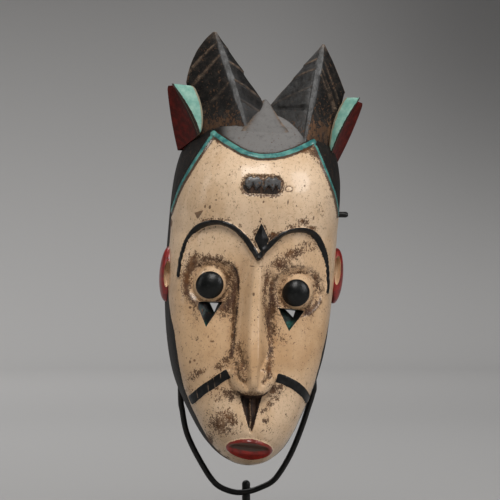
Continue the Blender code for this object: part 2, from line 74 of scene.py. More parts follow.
camera_data = bpy.data.cameras.new("camera")
camera_data.sensor_width = 36
camera_data.lens = 36 * CAMERA_DISTANCE / PICTURE_WIDTH
camera = bpy.data.objects.new("camera", camera_data)
bpy.context.scene.collection.objects.link(camera)
towards_camera = Vector((-math.sin(CAMERA_TURN), -math.cos(CAMERA_TURN), 0))
camera.location = TARGET + towards_camera * CAMERA_DISTANCE
camera.rotation_euler = towards_camera.to_track_quat("Z", "Y").to_euler()
bpy.context.scene.camera = camera
print("lens, mm:", round(camera_data.lens, 1))

# %% [markdown]
# ## Sizes
# The carving is laid out in carving units, one to a millimetre at the real size: x from the middle line,
# y from the back rim, negative to the front, and z from the chin to 300 at the crown.
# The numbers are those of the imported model, so what is carved here lies where its solids are.

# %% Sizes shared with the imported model
FACE_HEIGHT, FACE_WIDTH, FACE_DEPTH = 0.3023, 0.1424, 0.080
WALL = 0.011
LEAN = math.radians(2.4)
RIM_CLEAR = 0.0032
CHIN_HEIGHT, CHIN_OFFSET = 0.090, -0.001
ROD, LOOP_DROP = 0.005, 0.0287
POST, POST_RISE, POST_INSET = 0.007, 0.0097, 0.030
PLATE_WIDTH, PLATE_DEPTH, PLATE_THICKNESS = 0.150, 0.120, 0.008
GAP = 0.0003
PEG_CLEARANCE, PEG_HEIGHT, PEG_INSET, PEG_REACH = 0.0012, 211.0, 10.0, 0.0085
HALF_WIDTH, WIDEST = 71.2, 190.0
CROWN, CHIN = 300.0, -2.3
FLAT_DEPTH, BOW = 80.0, 5.5
LOWER_OVAL, UPPER_OVAL = 2.58, 4.0
JAW, CHEEK = 0.062, 1.1

UNIT = np.array((FACE_WIDTH / (2 * HALF_WIDTH), FACE_DEPTH / FLAT_DEPTH, FACE_HEIGHT / (CROWN - CHIN)))
POST_BACK = PLATE_DEPTH / 2 - POST_INSET
LOOP_PLANE = POST_BACK - POST / 2 - GAP - ROD / 2
RIM_PLANE = LOOP_PLANE - ROD / 2 - RIM_CLEAR
print("carving unit, mm:", (1000 * UNIT).round(4))

# %% [markdown]
# ## Curves and steps
# Carving is described with a few simple functions: an S curve for a step, a bell for a swelling, a smooth
# curve through listed places, and the distance from a point to a line drawn on the face.


# %% Helpers for curves
def ease(low, high, value):
    """0 below low, 1 above high, and t squared times (3 - 2t) between."""
    t = np.clip((value - low) / (high - low), 0, 1)
    return t * t * (3 - 2 * t)


def hump(value, middle, spread):
    """A bell of height 1: e to the minus of the squared distance from the middle, in spreads."""
    return np.exp(-((value - middle) / spread) ** 2)


def smooth_path(points, steps):
    """A Catmull-Rom curve through the points, with that many steps between neighbours."""
    points = np.asarray(points, float)
    padded = np.vstack([2 * points[0] - points[1], points, 2 * points[-1] - points[-2]])
    t = np.linspace(0, 1, steps, endpoint=False)[:, None]
    spans = []
    for a, b, c, d in zip(padded, padded[1:], padded[2:], padded[3:]):
        spans.append(0.5 * (2 * b + (c - a) * t + (2 * a - 5 * b + 4 * c - d) * t**2
                            + (3 * b - a - 3 * c + d) * t**3))
    return np.vstack(spans + [points[-1:]])


def smooth_table(value, places, heights):
    """A Hermite curve through (place, height) pairs, its slopes taken from the neighbours, read at value."""
    slopes = np.gradient(np.asarray(heights, float), places)
    places, heights = np.asarray(places, float), np.asarray(heights, float)
    value = np.clip(value, places[0], places[-1])
    span = np.clip(np.searchsorted(places, value, side="right") - 1, 0, len(places) - 2)
    width = places[span + 1] - places[span]
    t = (value - places[span]) / width
    return (heights[span] * (1 + 2 * t) * (1 - t) ** 2 + slopes[span] * width * t * (1 - t) ** 2
            + heights[span + 1] * t * t * (3 - 2 * t) + slopes[span + 1] * width * t * t * (t - 1))


def along_path(points, path):
    """Distance from each point to the nearest segment of a path, and how far along the path, 0 to 1."""
    nearest = np.full(len(points), 1e9)
    place = np.zeros(len(points))
    for number, (start, end) in enumerate(zip(path, path[1:])):
        along = end - start
        t = np.clip((points - start) @ along / (along @ along), 0, 1)
        distance = np.linalg.norm(points - start - t[:, None] * along, axis=1)
        closer = distance < nearest
        nearest = np.where(closer, distance, nearest)
        place = np.where(closer, (number + t) / (len(path) - 1), place)
    return nearest, place


def full_turn(steps):
    """Angles once round, without the last, which would be the first again."""
    return np.linspace(0, 2 * math.pi, steps, endpoint=False)


def wander(points, size, seed):
    """A smooth random field between about -1 and 1: a sum of seven sine waves of that size, seeded."""
    draw = np.random.default_rng(seed)
    waves = draw.normal(size=(7, 3)) / size
    starts = draw.uniform(0, 2 * math.pi, 7)
    return np.sin(points @ waves.T + starts).sum(axis=-1) / 3.2


# %% [markdown]
# ## The smooth form of the face
# The face is a long oval that bulges forward like half an egg with a flattened front. It could be
# sculpted from a sphere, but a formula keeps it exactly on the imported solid: a square grid is bent onto a
# disc, the disc is stretched to the oval, and the depth falls to the rim along a superellipse.


# %% The smooth form
def disc_grid(columns, rows):
    """A square grid bent onto the unit disc: each side is shortened by the root of (1 - half the other
    squared), then the radius is eased with a sine so that the rows crowd together towards the rim."""
    p, q = np.meshgrid(np.linspace(-1, 1, columns), np.linspace(-1, 1, rows))
    east, north = p * np.sqrt(1 - q**2 / 2), q * np.sqrt(1 - p**2 / 2)
    radius = np.hypot(east, north)
    eased = np.sin((0.8 * radius + 0.2 * radius**4) * math.pi / 2)
    stretch = np.where(radius > 1e-9, eased / np.maximum(radius, 1e-9), 0.4 * math.pi)
    return east * stretch, north * stretch


def long_oval(north):
    """The oval's half width over a circle's: the root of (1 - level^oval) / (1 - level^2), jaw drawn in."""
    level = np.clip(np.abs(north), 0, 1 - 1e-7)
    oval = np.where(north < 0, LOWER_OVAL, UPPER_OVAL)
    jaw = np.where(north < 0, 1 - JAW * hump(level, 0.816, 0.14), 1)
    return jaw * np.sqrt((1 - level**oval) / (1 - level**2))


def hull(east, north, inset=(0, 0, 0)):
    """Points of the smooth form: x is east times the half width, z runs from chin to crown with north, and
    the depth is the flat depth times (1 - radius^fullness)^(1 / fullness), fuller towards the chin."""
    x = east * (HALF_WIDTH - inset[0]) * long_oval(north)
    z = WIDEST + north * (np.where(north < 0, WIDEST - CHIN, CROWN - WIDEST) - inset[2])
    radius = np.clip(np.hypot(east, north), 1e-9, 1)
    up = north / radius
    fullness = 2.5 + 3.2 * np.maximum(0, -up) + 0.3 * np.maximum(0, up) ** 2
    depth = FLAT_DEPTH - inset[1] + 14 * hump(z, 232, 42) + 9 * hump(z, 28, 24) * hump(x, 0, 34)
    y = -depth * (1 - radius**fullness) ** (1 / fullness)
    return x - CHEEK * hump(z, 50, 40) * radius**2, y, z


def on_hull(x, z):
    """The point of the smooth form straight behind a place in the front view, found by undoing hull."""
    north = np.where(z < WIDEST, (z - WIDEST) / (WIDEST - CHIN), (z - WIDEST) / (CROWN - WIDEST))
    across = HALF_WIDTH * long_oval(north)
    east = x / across
    for _ in range(3):
        east = (x + CHEEK * hump(z, 50, 40) * np.minimum(1, east**2 + north**2)) / across
    inside = np.minimum(1, 0.999 / np.maximum(np.hypot(east, north), 1e-9))
    return np.stack(hull(east * inside, north * inside), axis=-1)


def carved_path(points, steps=8):
    """A line drawn on the face: a smooth curve through its places in the front view, laid on the form."""
    flat = smooth_path(points, steps)
    return on_hull(flat[:, 0], flat[:, 1])


def hang(points):
    """Carving units to metres: bow the middle line, scale, lean, and move in front of the post."""
    points = np.array(points, float)
    drift = np.clip((points[..., 2] - 110) / 190, -1, 1)
    points[..., 0] -= BOW * np.cos(drift * math.pi / 2) ** 2
    x, y, z = (points * UNIT).reshape(-1, 3).T
    across = CHIN_OFFSET + x * math.cos(LEAN) + z * math.sin(LEAN)
    up = CHIN_HEIGHT - x * math.sin(LEAN) + z * math.cos(LEAN)
    return np.stack([across, y + RIM_PLANE, up], axis=-1).reshape(points.shape)


# %% [markdown]
# ## Drawing on the face
# The brows, the hairline, the lines at the temples and the two whisker bands are all painted on low
# ridges, so one list of places serves the knife and the brush.

# %% Places of the drawn lines
EYES = ((-39.8, 147.8), (38.4, 144.4))
PUPILS = ((-37.5, 147.6), (33.8, 144.0))
BROWS = (((-62.2, 154.5), (-61.9, 164), (-60.2, 176), (-56.6, 187), (-50, 195), (-39.4, 198.8),
         (-28.5, 197.6), (-19.5, 193), (-11, 185.6), (-4.9, 178), (-0.4, 172)),
         ((-0.4, 172), (4.6, 178), (12, 186), (19.5, 192), (30, 195.2), (40.6, 194.8), (48.8, 190),
          (54.8, 181.2), (58.8, 171.5), (61, 159.5), (61.8, 146)))
HAIRLINE = ((-42.5, 272.5), (-34, 266.2), (-21, 258.2), (-10.8, 255), (-1.5, 254.4), (10.9, 256.2),
            (21.7, 260.1), (31.5, 264.7), (40, 269.5))
TEMPLES = (((-42.5, 272.5), (-49.8, 260.4), (-57, 247.9), (-63, 235.5), (-67.6, 223.3), (-70.4, 208)),
           ((40, 269), (46.4, 255.1), (52, 243.5), (57.2, 233.4), (62.5, 223.5), (67.6, 210)))
WHISKERS = (((-20.4, 75.4), (-25.5, 72.0), (-32, 67), (-38, 62.6), (-43.4, 57.6), (-48.4, 52)),
            ((21.4, 73.8), (28.0, 71.8), (36, 67.8), (43.1, 62.4), (48.6, 56)))
NOSE_CREASES = (((-13.4, 84), (-13, 77), (-10.6, 72.4), (-6.2, 68.6)),
                ((13.2, 84), (13.4, 77), (11.6, 72.8), (8, 69.6)))
NOSE_LINE = ((-24, 168), (-19.5, 165), (-15.4, 158), (-13.6, 149.6), (-13.3, 134.5), (-14.9, 112),
             (-15.5, 96))
MOUTH = (-1.2, 14.2)
SCARS = (-9.8, 5.4)
JEWEL = (1.2, 187)
SMALL_RING = (19.5, 228.5)
EYEBALL, SOCKET_DEPTH = 15.4, 6.2
print("drawn lines:", len(BROWS) + 1 + len(TEMPLES) + len(WHISKERS))

# %% [markdown]
# ## Knife work
# Each feature is a height above the smooth form. Heights simply add up, and the larger of two forms wins
# where they meet, as with the nose and its wings.


# %% Nose, eyes and brows
def nose(x, z):
    """A flat-topped bridge, height by level times its section, that runs into a U-shaped roll, wings and tip
    in one. A crease follows the inside of the roll and a groove runs down either side of the bridge."""
    half = smooth_table(z, (57, 72, 80, 88, 98, 120, 145, 168, 182),
                        (8.5, 8.5, 10, 12, 12.8, 11.2, 9.4, 7.5, 6))
    height = smooth_table(z, (57, 58.6, 61, 66, 73, 84, 98, 120, 150, 172, 184),
                          (0, 6, 11.5, 16, 17.6, 17, 15, 11, 8, 5, 0))
    bridge = height * (1 - ease(0.2, 1.0, np.clip(np.abs(x) / half, 0, 1)))
    roll_half = smooth_table(z, (56.6, 57.6, 59.5, 63, 67, 71, 75, 80, 86, 93),
                             (0.5, 5.5, 10.5, 14.4, 17.6, 19.2, 19.2, 17, 14.4, 12.6))
    roll = (1 - np.clip(np.abs(x) / roll_half, 0, 1) ** 2.6) ** 0.55
    roll = 12.0 * roll * ease(55.8, 61, z) ** 0.6 * (1 - ease(78, 93, z))
    crease = np.zeros(np.shape(x))
    for line in NOSE_CREASES:
        crease = crease + 3.0 * (1 - ease(0.5, 2.4, along_path(np.column_stack([x, z]), np.array(line))[0]))
    groove = 3.8 * hump(np.abs(x), half + 3.4, 3.2) * ease(86, 106, z) * (1 - ease(150, 172, z))
    return np.maximum(bridge, roll) - crease - groove


def socket_share(x, z, side, eye):
    """Distance from the middle of an eye socket as a share of its size."""
    return np.hypot((x - eye[0] + side * 2.5) / 23.5, (z - eye[1] - 1) / 21.5)


def eyes(x, z):
    """A ball standing in each socket, with a domed disc for the pupil on its front."""
    height = 0
    for side, eye in zip((-1, 1), EYES):
        height = height - SOCKET_DEPTH * (1 - ease(0.55, 1.04, socket_share(x, z, side, eye)))
    for eye, pupil in zip(EYES, PUPILS):
        ball = np.hypot(x - eye[0], z - eye[1])
        dome = 10.6 * np.sqrt(np.clip(1 - (ball / EYEBALL) ** 2, 0, 1)) - SOCKET_DEPTH
        height = np.where(ball < EYEBALL, np.maximum(height, dome), height)
        disc = np.hypot(x - pupil[0], z - pupil[1])
        height = height + 0.9 * (1 - ease(10.6, 11.6, disc)) - 0.5 * (disc / 11.4) ** 2 * (disc < 11.4)
    return height


def brow_plane(x, z):
    """Under the brows the face lies a little deeper, with a crisp edge along their lower side."""
    arch = smooth_table(x, (-62, -53, -40, -20, 0, 20, 38, 52, 62),
                        (170, 191, 199, 193, 172, 193, 196, 187, 168))
    return -3.2 * ease(-1.0, 4.0, arch - z) * ease(84, 130, z) * (1 - ease(50, 64, np.abs(x)))


# %% [markdown]
# The mouth is an oval boss with a slit, and a three-cornered dent with a rib in it runs down from the
# nose. On the forehead stand two toothed scars and, between the brows, a small four-sided pyramid.


# %% Mouth, scars and jewel
def mouth_share(x, z, half_width, half_height, lift=0.0):
    """1 on the edge of a pointed oval and 0 in its middle: (across^1.5 + up^2)^0.6, tilted by 0.05."""
    across = np.abs(x - MOUTH[0]) / half_width
    up = np.abs(z - MOUTH[1] - lift + 0.05 * (x - MOUTH[0])) / half_height
    return (across**1.5 + up**2) ** 0.6


def lips(x, z):
    """A pointed oval boss, less a slit, less the dent under the nose with a thin rib down its middle."""
    ring = mouth_share(x, z, 20.2, 9.6)
    slit = hump(z, MOUTH[1] + 1.6 - 0.06 * (x - MOUTH[0]), 1.9) * (1 - ease(11, 17, np.abs(x - MOUTH[0])))
    dent_half = 0.6 + 8.6 * np.clip((z - 27) / 30, 0, 1)
    across = np.abs(x + 1.0) / dent_half
    dent = (1 - ease(0.6, 1.0, across)) * ease(26, 31, z) * (1 - ease(58, 62, z))
    rib = 1.5 * hump(x, -1.4, 1.3) * dent
    return 2.6 * (1 - ease(0.8, 1.04, ring)) - 2.2 * slit - 3.4 * dent + rib


def scar_inside(x, z):
    """How far inside either scar a place is: the least distance to its sides, its top and its two teeth."""
    inside = np.full(np.shape(x), -99.0)
    for middle, phase in zip(SCARS, (0.1, 0.45)):
        across = np.abs(x - middle)
        top = 237.2 - 2.2 * (across / 7.0) ** 4 - 0.7 * np.cos((x - middle) * 1.1 + phase)
        zigzag = np.abs(np.mod((x - middle) / 6.2 + phase, 1.0) - 0.5)
        teeth = 226.4 + 4.6 * zigzag * 2 + 0.5 * np.sin(x * 1.7)
        inside = np.maximum(inside, np.minimum(np.minimum(7.2 - across, top - z), (z - teeth) * 0.8))
    return inside


def scar_ground(x, z):
    """How far inside the sunk ground round both scars a place is: an oblong with round ends."""
    return 7.2 - np.hypot(np.maximum(np.abs(x + 2.2) - 10.2, 0), (z - 230.4) * 0.86)


def jewel_inside(x, z):
    """1 in the middle of the four-sided pyramid, falling evenly to 0 on its edges."""
    return 1 - np.abs(x - JEWEL[0] + 0.12 * (z - JEWEL[1])) / 6.2 - np.abs(z - JEWEL[1]) / 13.4


def raised_line(points, path, half, height):
    """A low rounded ridge: full height near the line, eased to nothing at its half width."""
    return height * (1 - ease(half * 0.6, half, along_path(points, path)[0]))


def carve(base):
    """All the heights above the smooth form, in carving units, and the marks of the knife."""
    x, _, z = base.T
    height = nose(x, z) + eyes(x, z) + brow_plane(x, z) + lips(x, z)
    height = height + 2.4 * ease(-0.3, 0.9, scar_inside(x, z)) - 1.2 * ease(-0.6, 1.0, scar_ground(x, z))
    height = height + 4.2 * np.clip(jewel_inside(x, z), 0, 1) + 0.5 * (jewel_inside(x, z) > 0)
    for line in BROWS:
        height = height + raised_line(base, carved_path(line), 2.7, 1.6)
    for line in (HAIRLINE, *TEMPLES):
        distance, _ = along_path(base, carved_path(line))
        height = height + 1.0 * (1 - ease(1.9, 2.7, distance)) - 0.7 * hump(distance, 3.5, 0.8)
    for line in WHISKERS:
        height = height + raised_line(base, carved_path(line), 4.5, 0.8)
    ring = np.hypot((x - SMALL_RING[0]) / 1.25, z - SMALL_RING[1])
    height = height - 0.5 * hump(ring, 2.3, 0.6) - 0.5 * hump(np.hypot(x + 0.6, z - 217), 0, 0.9)
    return height + 0.22 * wander(base, 11, 3) + 0.10 * wander(base, 4.2, 4)


# %% [markdown]
# ## Paint, wear, dirt and painted shade as numbers on the surface
# The colours could be a picture wrapped on the mask, but then they would slide over the carving. Here each
# point of the surface carries a few plain numbers: how many millimetres it lies inside each painted
# area, how worn and how dirty it is, and how much painted shade darkens its hollows and the lower face.
# The materials turn them into crisp or ragged edges.

# %% Worn places and small marks of the face
WORN_PLACES = (
    # x, z, half width, half height, strength: round the left eye
    (-52, 167, 4, 6, .9), (-55.5, 155, 3.5, 11, .8), (-55, 143, 3, 8, .5), (-43, 171, 9, 3, .7),
    (-30, 168, 5, 4, .5), (-21, 156, 4, 9, .45), (-17, 143, 3, 10, .5), (-24, 128, 6, 7, .8),
    (-19, 134, 4, 6, .6), (-47, 122, 3, 8, .5),
    # round the right eye
    (16, 168, 5, 5, 1), (27, 175, 7, 5, 1), (35, 178, 5, 3, .8), (22, 165, 5, 4, .9), (9, 157, 3, 8, .95),
    (7.5, 142, 2.5, 12, .8), (14, 145, 3, 10, .5), (11, 124, 4, 9, .8), (17, 112, 5, 6, .8),
    (26, 105, 5, 5, .6), (50, 150, 3, 12, .6), (46, 130, 4, 7, .7), (38, 184, 4, 3, .8),
    (46, 182, 4, 3, .7), (16, 131, 4, 8, .7),
    # above the brows and at the jewel
    (34, 202.5, 6, 3, 1), (25, 198.5, 4, 2, .8), (43, 197.5, 5, 2, .9), (10, 190.5, 3, 3.4, 1.1),
    (15, 189, 3.5, 3, .8), (-30, 201, 9, 2, .5), (-45, 200, 7, 2.4, .55), (-6, 193, 2, 4, .5),
    (-18, 196.4, 5, 2, .45),
    # the nose
    (-11, 95, 3.5, 8, .75), (-7.6, 84, 3, 7, .75), (-12, 78, 2.5, 5, .7), (-16.5, 108, 1.8, 24, .75),
    (15, 95, 2.6, 12, 1.1), (12.8, 80, 3.4, 6, .9), (12.5, 118, 2, 16, .5), (-6, 72, 3, 3, .6),
    (9, 71.5, 3, 3, .5),
    # beside and under the nose
    (-27.7, 80.5, 4, 3, .95), (-22, 86.5, 4, 4, .95), (-18, 93, 2, 4, .8), (-21, 61, 6, 3.4, .8),
    (-27, 55, 5, 4, .6), (-16, 56, 4, 4, .8), (17, 65, 3, 4, 1.1), (23, 66, 4, 2.4, .9),
    (20, 58, 4, 4, .7), (15, 52, 3, 4, .6),
    # the muzzle and the chin
    (-21, 42, 6, 6, .75), (-24, 30, 7, 6, .75), (-30, 36, 7, 8, .6), (-15, 37, 5, 6, .65),
    (-34, 22, 5, 5, .5), (-32.5, 16.4, 2.4, 5, 1.1), (-26, 9, 3, 3, 1.0), (-20.6, 4.6, 4, 2, 1.1),
    (9, 47.5, 4, 2.6, 1), (10.5, 39, 3, 4, .9), (14, 32, 4, 3, .5), (-12, 27, 6, 4, .4),
    # the cheeks and the forehead
    (-49.5, 70, 4, 3, .7), (-45, 74.5, 4, 3, .8), (-40, 77, 4, 2.4, .7), (-50, 62, 3, 4, .6),
    (-46, 104, 3, 2.4, .5), (33, 262, 6, 4, .9), (41, 259, 4, 4, .9), (-39, 264, 3, 4, .5),
    (49, 213, 3, 6, .45), (56, 224, 3, 4, .4),
)
# Dirt and painted shade: these patches darken the sockets, the sides of the nose and the hollows under it.
DIRT_AND_SHADE_PLACES = ((-28, 128, 12, 10, .9), (-19, 146, 4, 20, .45), (-52, 150, 6, 16, .5),
                (-44, 128, 8, 10, .7), (14, 148, 4.5, 18, .7), (20, 126, 7, 10, .7), (44, 130, 8, 10, .7),
                (50, 148, 5, 14, .6), (30, 170, 14, 6, .5), (-40, 170, 14, 5, .5), (-9, 86, 7, 14, .6),
                (12, 86, 4, 14, .6), (-18, 60, 9, 4, .6), (18, 62, 8, 5, .7), (-2, 60, 16, 3, .9),
                (-1, 45, 6, 12, .9), (-22, 36, 12, 10, .4), (-16, 120, 2.4, 32, .7), (13, 128, 3, 22, .5))
CHIP = [(-54.4, 206.2), (-47.4, 208.8), (-51.4, 200.8)]
CRACKS = (((-26.4, 78), (-24.6, 66)), ((-31.6, 73), (-29.6, 62)), ((-36.6, 69), (-34.8, 59)),
          ((-45.4, 63), (-42.8, 51)))
MARKS = ((-0.6, 217.0, 0.9, 0.9), (19.6, 217.9, 0.7, 2.4), (-46.7, 211.6, 0.8, 1.6),
         (-42.9, 211.2, 0.9, 1.8), (-70.5, 197.5, 1.0, 3.4), (-71.2, 191, 0.8, 2.6), (-33.2, 101.6, 2.2, 0.7),
         (-36.6, 105.4, 0.6, 1.3), (32.6, 231.8, 0.8, 0.8), (-38.6, 217.2, 0.6, 0.9), (-11.4, 97.5, 1.2, 2.6),
         (3.2, 164.6, 2.2, 0.6), (-4.6, 164.2, 2.4, 0.6), (-2, 141.6, 1.0, 1.6), (-52, 128.4, 1.2, 1.2),
         (-46.8, 85.2, 1.0, 1.0), (-50.4, 83.8, 0.9, 1.4), (28.6, 44.0, 0.9, 1.0), (43.0, 206.0, 0.8, 2.0))
print("worn places:", len(WORN_PLACES), "small marks:", len(MARKS))


# %% Numbers carried by the face
def patches(x, z, places):
    """The sum of oval bells, one for each (x, z, half width, half height, strength)."""
    total = np.zeros(len(x))
    for at_x, at_z, wide, tall, strength in places:
        total += strength * np.exp(-((x - at_x) / wide) ** 2 - ((z - at_z) / tall) ** 2)
    return total


def inside_hairline(x, z):
    """True below the arc of the hairline and between the two lines at the temples."""
    arc = np.interp(x, [p[0] for p in HAIRLINE], [p[1] for p in HAIRLINE])
    left = np.interp(z, [p[1] for p in TEMPLES[0][::-1]], [p[0] for p in TEMPLES[0][::-1]])
    right = np.interp(z, [p[1] for p in TEMPLES[1][::-1]], [p[0] for p in TEMPLES[1][::-1]])
    return (z < arc) & (x > left) & (x < right)


def least_inside(x, z, corners):
    """How far inside a polygon a place is: the least distance to its sides, which are listed clockwise."""
    inside = np.full(len(x), 99.0)
    for (x1, z1), (x2, z2) in zip(corners, corners[1:] + corners[:1]):
        length = math.hypot(x2 - x1, z2 - z1)
        inside = np.minimum(inside, ((x - x1) * (z2 - z1) - (z - z1) * (x2 - x1)) / length)
    return inside


def painted_areas(base, x, y, z):
    """Millimetres inside each painted area: lines on the smooth form, the rest in front view."""
    arc, left, right = (along_path(base, carved_path(line))[0] for line in (HAIRLINE, *TEMPLES))
    hair = np.minimum(arc, np.minimum(left, right)) * np.where(inside_hairline(base[:, 0], base[:, 2]), 1, -1)
    side_depth = smooth_table(z, (0, 12, 36, 60, 83, 109, 131, 160, 200, 214),
                              (45, 50, 52, 53, 55, 51, 38, 26, 21, 16))
    black = np.full(len(x), -99.0)
    for side, line in zip((-1, 1), BROWS):
        distance, place = along_path(base, carved_path(line))
        outwards = place if side > 0 else 1 - place
        half = 2.4 - 0.2 * ease(0.4, 0.8, outwards)
        black = np.maximum(black, half - distance)
    for line in WHISKERS:
        band = carved_path(line)
        distance, _ = along_path(base, band)
        start, end = band[1] - band[0], band[-2] - band[-1]
        from_start = (base - band[0]) @ (start / np.linalg.norm(start))
        from_end = (base - band[-1]) @ (end / np.linalg.norm(end))
        black = np.maximum(black, np.minimum(3.9 - distance, np.minimum(from_start, from_end) + 1.4))
    pupil = np.full(len(x), -99.0)
    for at in PUPILS:
        pupil = np.maximum(pupil, 11.3 - np.hypot(x - at[0], z - at[1]))
    mouth = 1 - mouth_share(x, z, 19.4, 9.2)
    slit = 1 - mouth_share(x + 0.6, z, 16.0, 3.7, 2.0)
    ring = np.hypot((x - SMALL_RING[0]) / 1.3, z - SMALL_RING[1])
    marks = np.maximum(least_inside(x, z, CHIP), 0.45 - np.abs(ring - 2.3))
    for at_x, at_z, wide, tall in MARKS:
        marks = np.maximum(marks, (1 - np.hypot((x - at_x) / wide, (z - at_z) / tall)) * min(wide, tall))
    cracks = np.full(len(x), -99.0)
    for line in CRACKS:
        cracks = np.maximum(cracks, 0.28 - along_path(np.column_stack([x, z]), np.array(line, float))[0])
    return {"cream_mm": np.where(z > 209, hair, -y - side_depth),
            "teal_mm": np.maximum(np.maximum(2.1 - arc, 2.0 - left), 1.4 - right), "black_mm": black,
            "scar_mm": scar_inside(x, z), "jewel_mm": jewel_inside(x, z) * 5.4, "pupil_mm": pupil,
            "red_mm": mouth * 9, "slit_mm": slit * 3.6, "mark_mm": marks, "crack_mm": cracks}


def face_numbers(base, skin):
    """All the numbers of the face: painted areas, lost paint, dirt with painted shade, dark dirt with painted
    shade in the recesses, dust, and a tone that darkens the lower face as painted shade and yellowing.
    """
    x, y, z = skin.T
    numbers = painted_areas(base, x, y, z)
    hair, scar = numbers["cream_mm"], scar_inside(x, z)
    socket, ball_ring, contour = np.zeros(len(x)), np.zeros(len(x)), np.zeros(len(x))
    for side, eye in zip((-1, 1), EYES):
        ball = np.hypot(x - eye[0], z - eye[1])
        around = ease(14.4, 16.4, ball)
        socket = socket + (1 - ease(0.85, 1.15, socket_share(x, z, side, eye))) * around
        ball_ring = ball_ring + hump(ball, 16.6, 1.6)
        contour = contour + hump(socket_share(x, z, side, eye), 0.96, 0.055)
    dent = 0.6 + 8.4 * np.clip((z - 27) / 30, 0, 1) - np.abs(x + 1.0)
    dent = ease(-0.4, 0.9, dent) * ease(26, 28, z) * (1 - ease(57, 59, z))
    shade_under_nose = hump(z, 57.2 + 0.030 * x**2, 1.5) * (1 - ease(11, 15, np.abs(x)))
    ground = scar_ground(x, z)
    between_teeth = ease(0.6, 2.2, ground) * (1 - ease(229.5, 232.5, z)) * (scar < 0)
    beside_jewel = hump(numbers["jewel_mm"], -1.0, 1.4)
    near_front = np.where(z > 209, 1, ease(-11, -4, hair))
    numbers["mark_mm"] = np.where(near_front > 0.5, numbers["mark_mm"], -9.0)
    loss = patches(x, z, WORN_PLACES) * near_front + 0.35 * hump(hair, 2.4, 1.8) * (z > 205)
    loss = loss + 0.3 * hump(numbers["black_mm"], -0.9, 0.9)
    loss = loss + 0.30 * socket + 0.20 * ball_ring + 0.4 * beside_jewel
    loss = loss + 0.75 * ease(-2.4, 0.4, ground) * (1 - between_teeth)
    front_view = np.column_stack([x, z])
    creases = sum(hump(along_path(front_view, np.array(line))[0], 0, 2.2) for line in NOSE_CREASES)
    # Dirt with painted shade, strongest in the sockets, round the eyeballs, in the creases and along the
    # nose.
    dirt_and_shade = patches(x, z, DIRT_AND_SHADE_PLACES) * near_front + 0.34 * socket + 0.40 * ball_ring + 0.42 * contour
    dirt_and_shade = dirt_and_shade + 0.9 * ease(-1.6, 0.6, ground) + 0.7 * creases
    dirt_and_shade = dirt_and_shade + 0.5 * dent + 0.25 * hump(numbers["red_mm"], -0.8, 1.2)
    beside_nose = along_path(front_view, smooth_path(NOSE_LINE, 6))[0]
    groove_line = 0.58 * hump(beside_nose, 0, 1.2)
    dirt_and_shade = dirt_and_shade + 0.5 * hump(beside_nose, 0, 2.6)
    # Dark dirt with painted shadow in the deepest places: the dent and line under the nose, the notches
    # between the scar teeth, round the jewel, beside the nose and round the sockets.
    deep_dirt_and_shade = dent * (1 - 0.65 * hump(x, -1.3, 1.1)) + 0.9 * shade_under_nose + 1.0 * between_teeth
    numbers["deep_dirt_and_shade"] = deep_dirt_and_shade + 0.5 * beside_jewel + groove_line + 0.36 * contour
    numbers["dust"] = ease(1.5, 4.5, -hair) * (z > 240) * (1 - ease(27, 38, np.abs(x + 1)))
    numbers["lower_lip"] = 1 - ease(-3, 2, z - MOUTH[1] + 0.05 * x)
    numbers["loss"], numbers["dirt_and_shade"] = loss, np.clip(dirt_and_shade, 0, 1.3)
    # The tone darkens the cream below the forehead, most at the middle of the face: painted shade for the
    # light from above, with some yellowing.
    numbers["tone"] = (1 - ease(95, 220, z)) * (0.2 + 0.8 * ease(48, 92, z))
    return numbers


# %% [markdown]
# ## Making meshes
# Points and faces go into the mesh in one call. The shapes that make up the mask are closed, because the
# Boolean that joins them needs an inside and an outside. Most are rings of points with a cap at either end.


# %% Mesh helpers
def grid_faces(columns, rows, closed=False):
    """Quads of a grid numbered row by row, with the last column joined to the first where it is closed."""
    index = np.arange(columns * rows).reshape(rows, columns)
    if closed:
        index = np.hstack([index, index[:, :1]])
    return np.stack([index[:-1, :-1], index[:-1, 1:], index[1:, 1:], index[1:, :-1]], axis=-1).reshape(-1, 4)


def grid_edge(columns, rows):
    """The numbers of the points round the edge of an open grid, in order."""
    index = np.arange(columns * rows).reshape(rows, columns)
    return [*index[0, :-1], *index[:-1, -1], *index[-1, :0:-1], *index[:0:-1, 0]]


def make_piece(name, points, faces, material, numbers=None):
    """A mesh object at the origin with its faces turned outwards and its numbers stored at the points."""
    mesh = bpy.data.meshes.new(name)
    mesh.from_pydata(points.tolist(), [], faces)
    edit = bmesh.new()
    edit.from_mesh(mesh)
    bmesh.ops.recalc_face_normals(edit, faces=edit.faces)
    edit.to_mesh(mesh)
    edit.free()
    for key, values in {"worked": np.ones(len(points)), **(numbers or {})}.items():
        mesh.attributes.new(key, "FLOAT", "POINT").data.foreach_set("value", np.asarray(values, np.float32))
    mesh.materials.append(material)
    made = bpy.data.objects.new(name, mesh)
    bpy.context.scene.collection.objects.link(made)
    return made


def closed_tube(name, rows, material, numbers=None):
    """A closed solid through rings of points, with a flat cap at either end."""
    rings, around, _ = rows.shape
    faces = grid_faces(around, rings, closed=True).tolist()
    faces += [tuple(range(around)), tuple(range((rings - 1) * around, rings * around))]
    return make_piece(name, rows.reshape(-1, 3), faces, material, numbers)


def loft(name, rows, material, numbers=None):
    """The same through rings laid out in carving units."""
    return closed_tube(name, hang(rows), material, numbers)


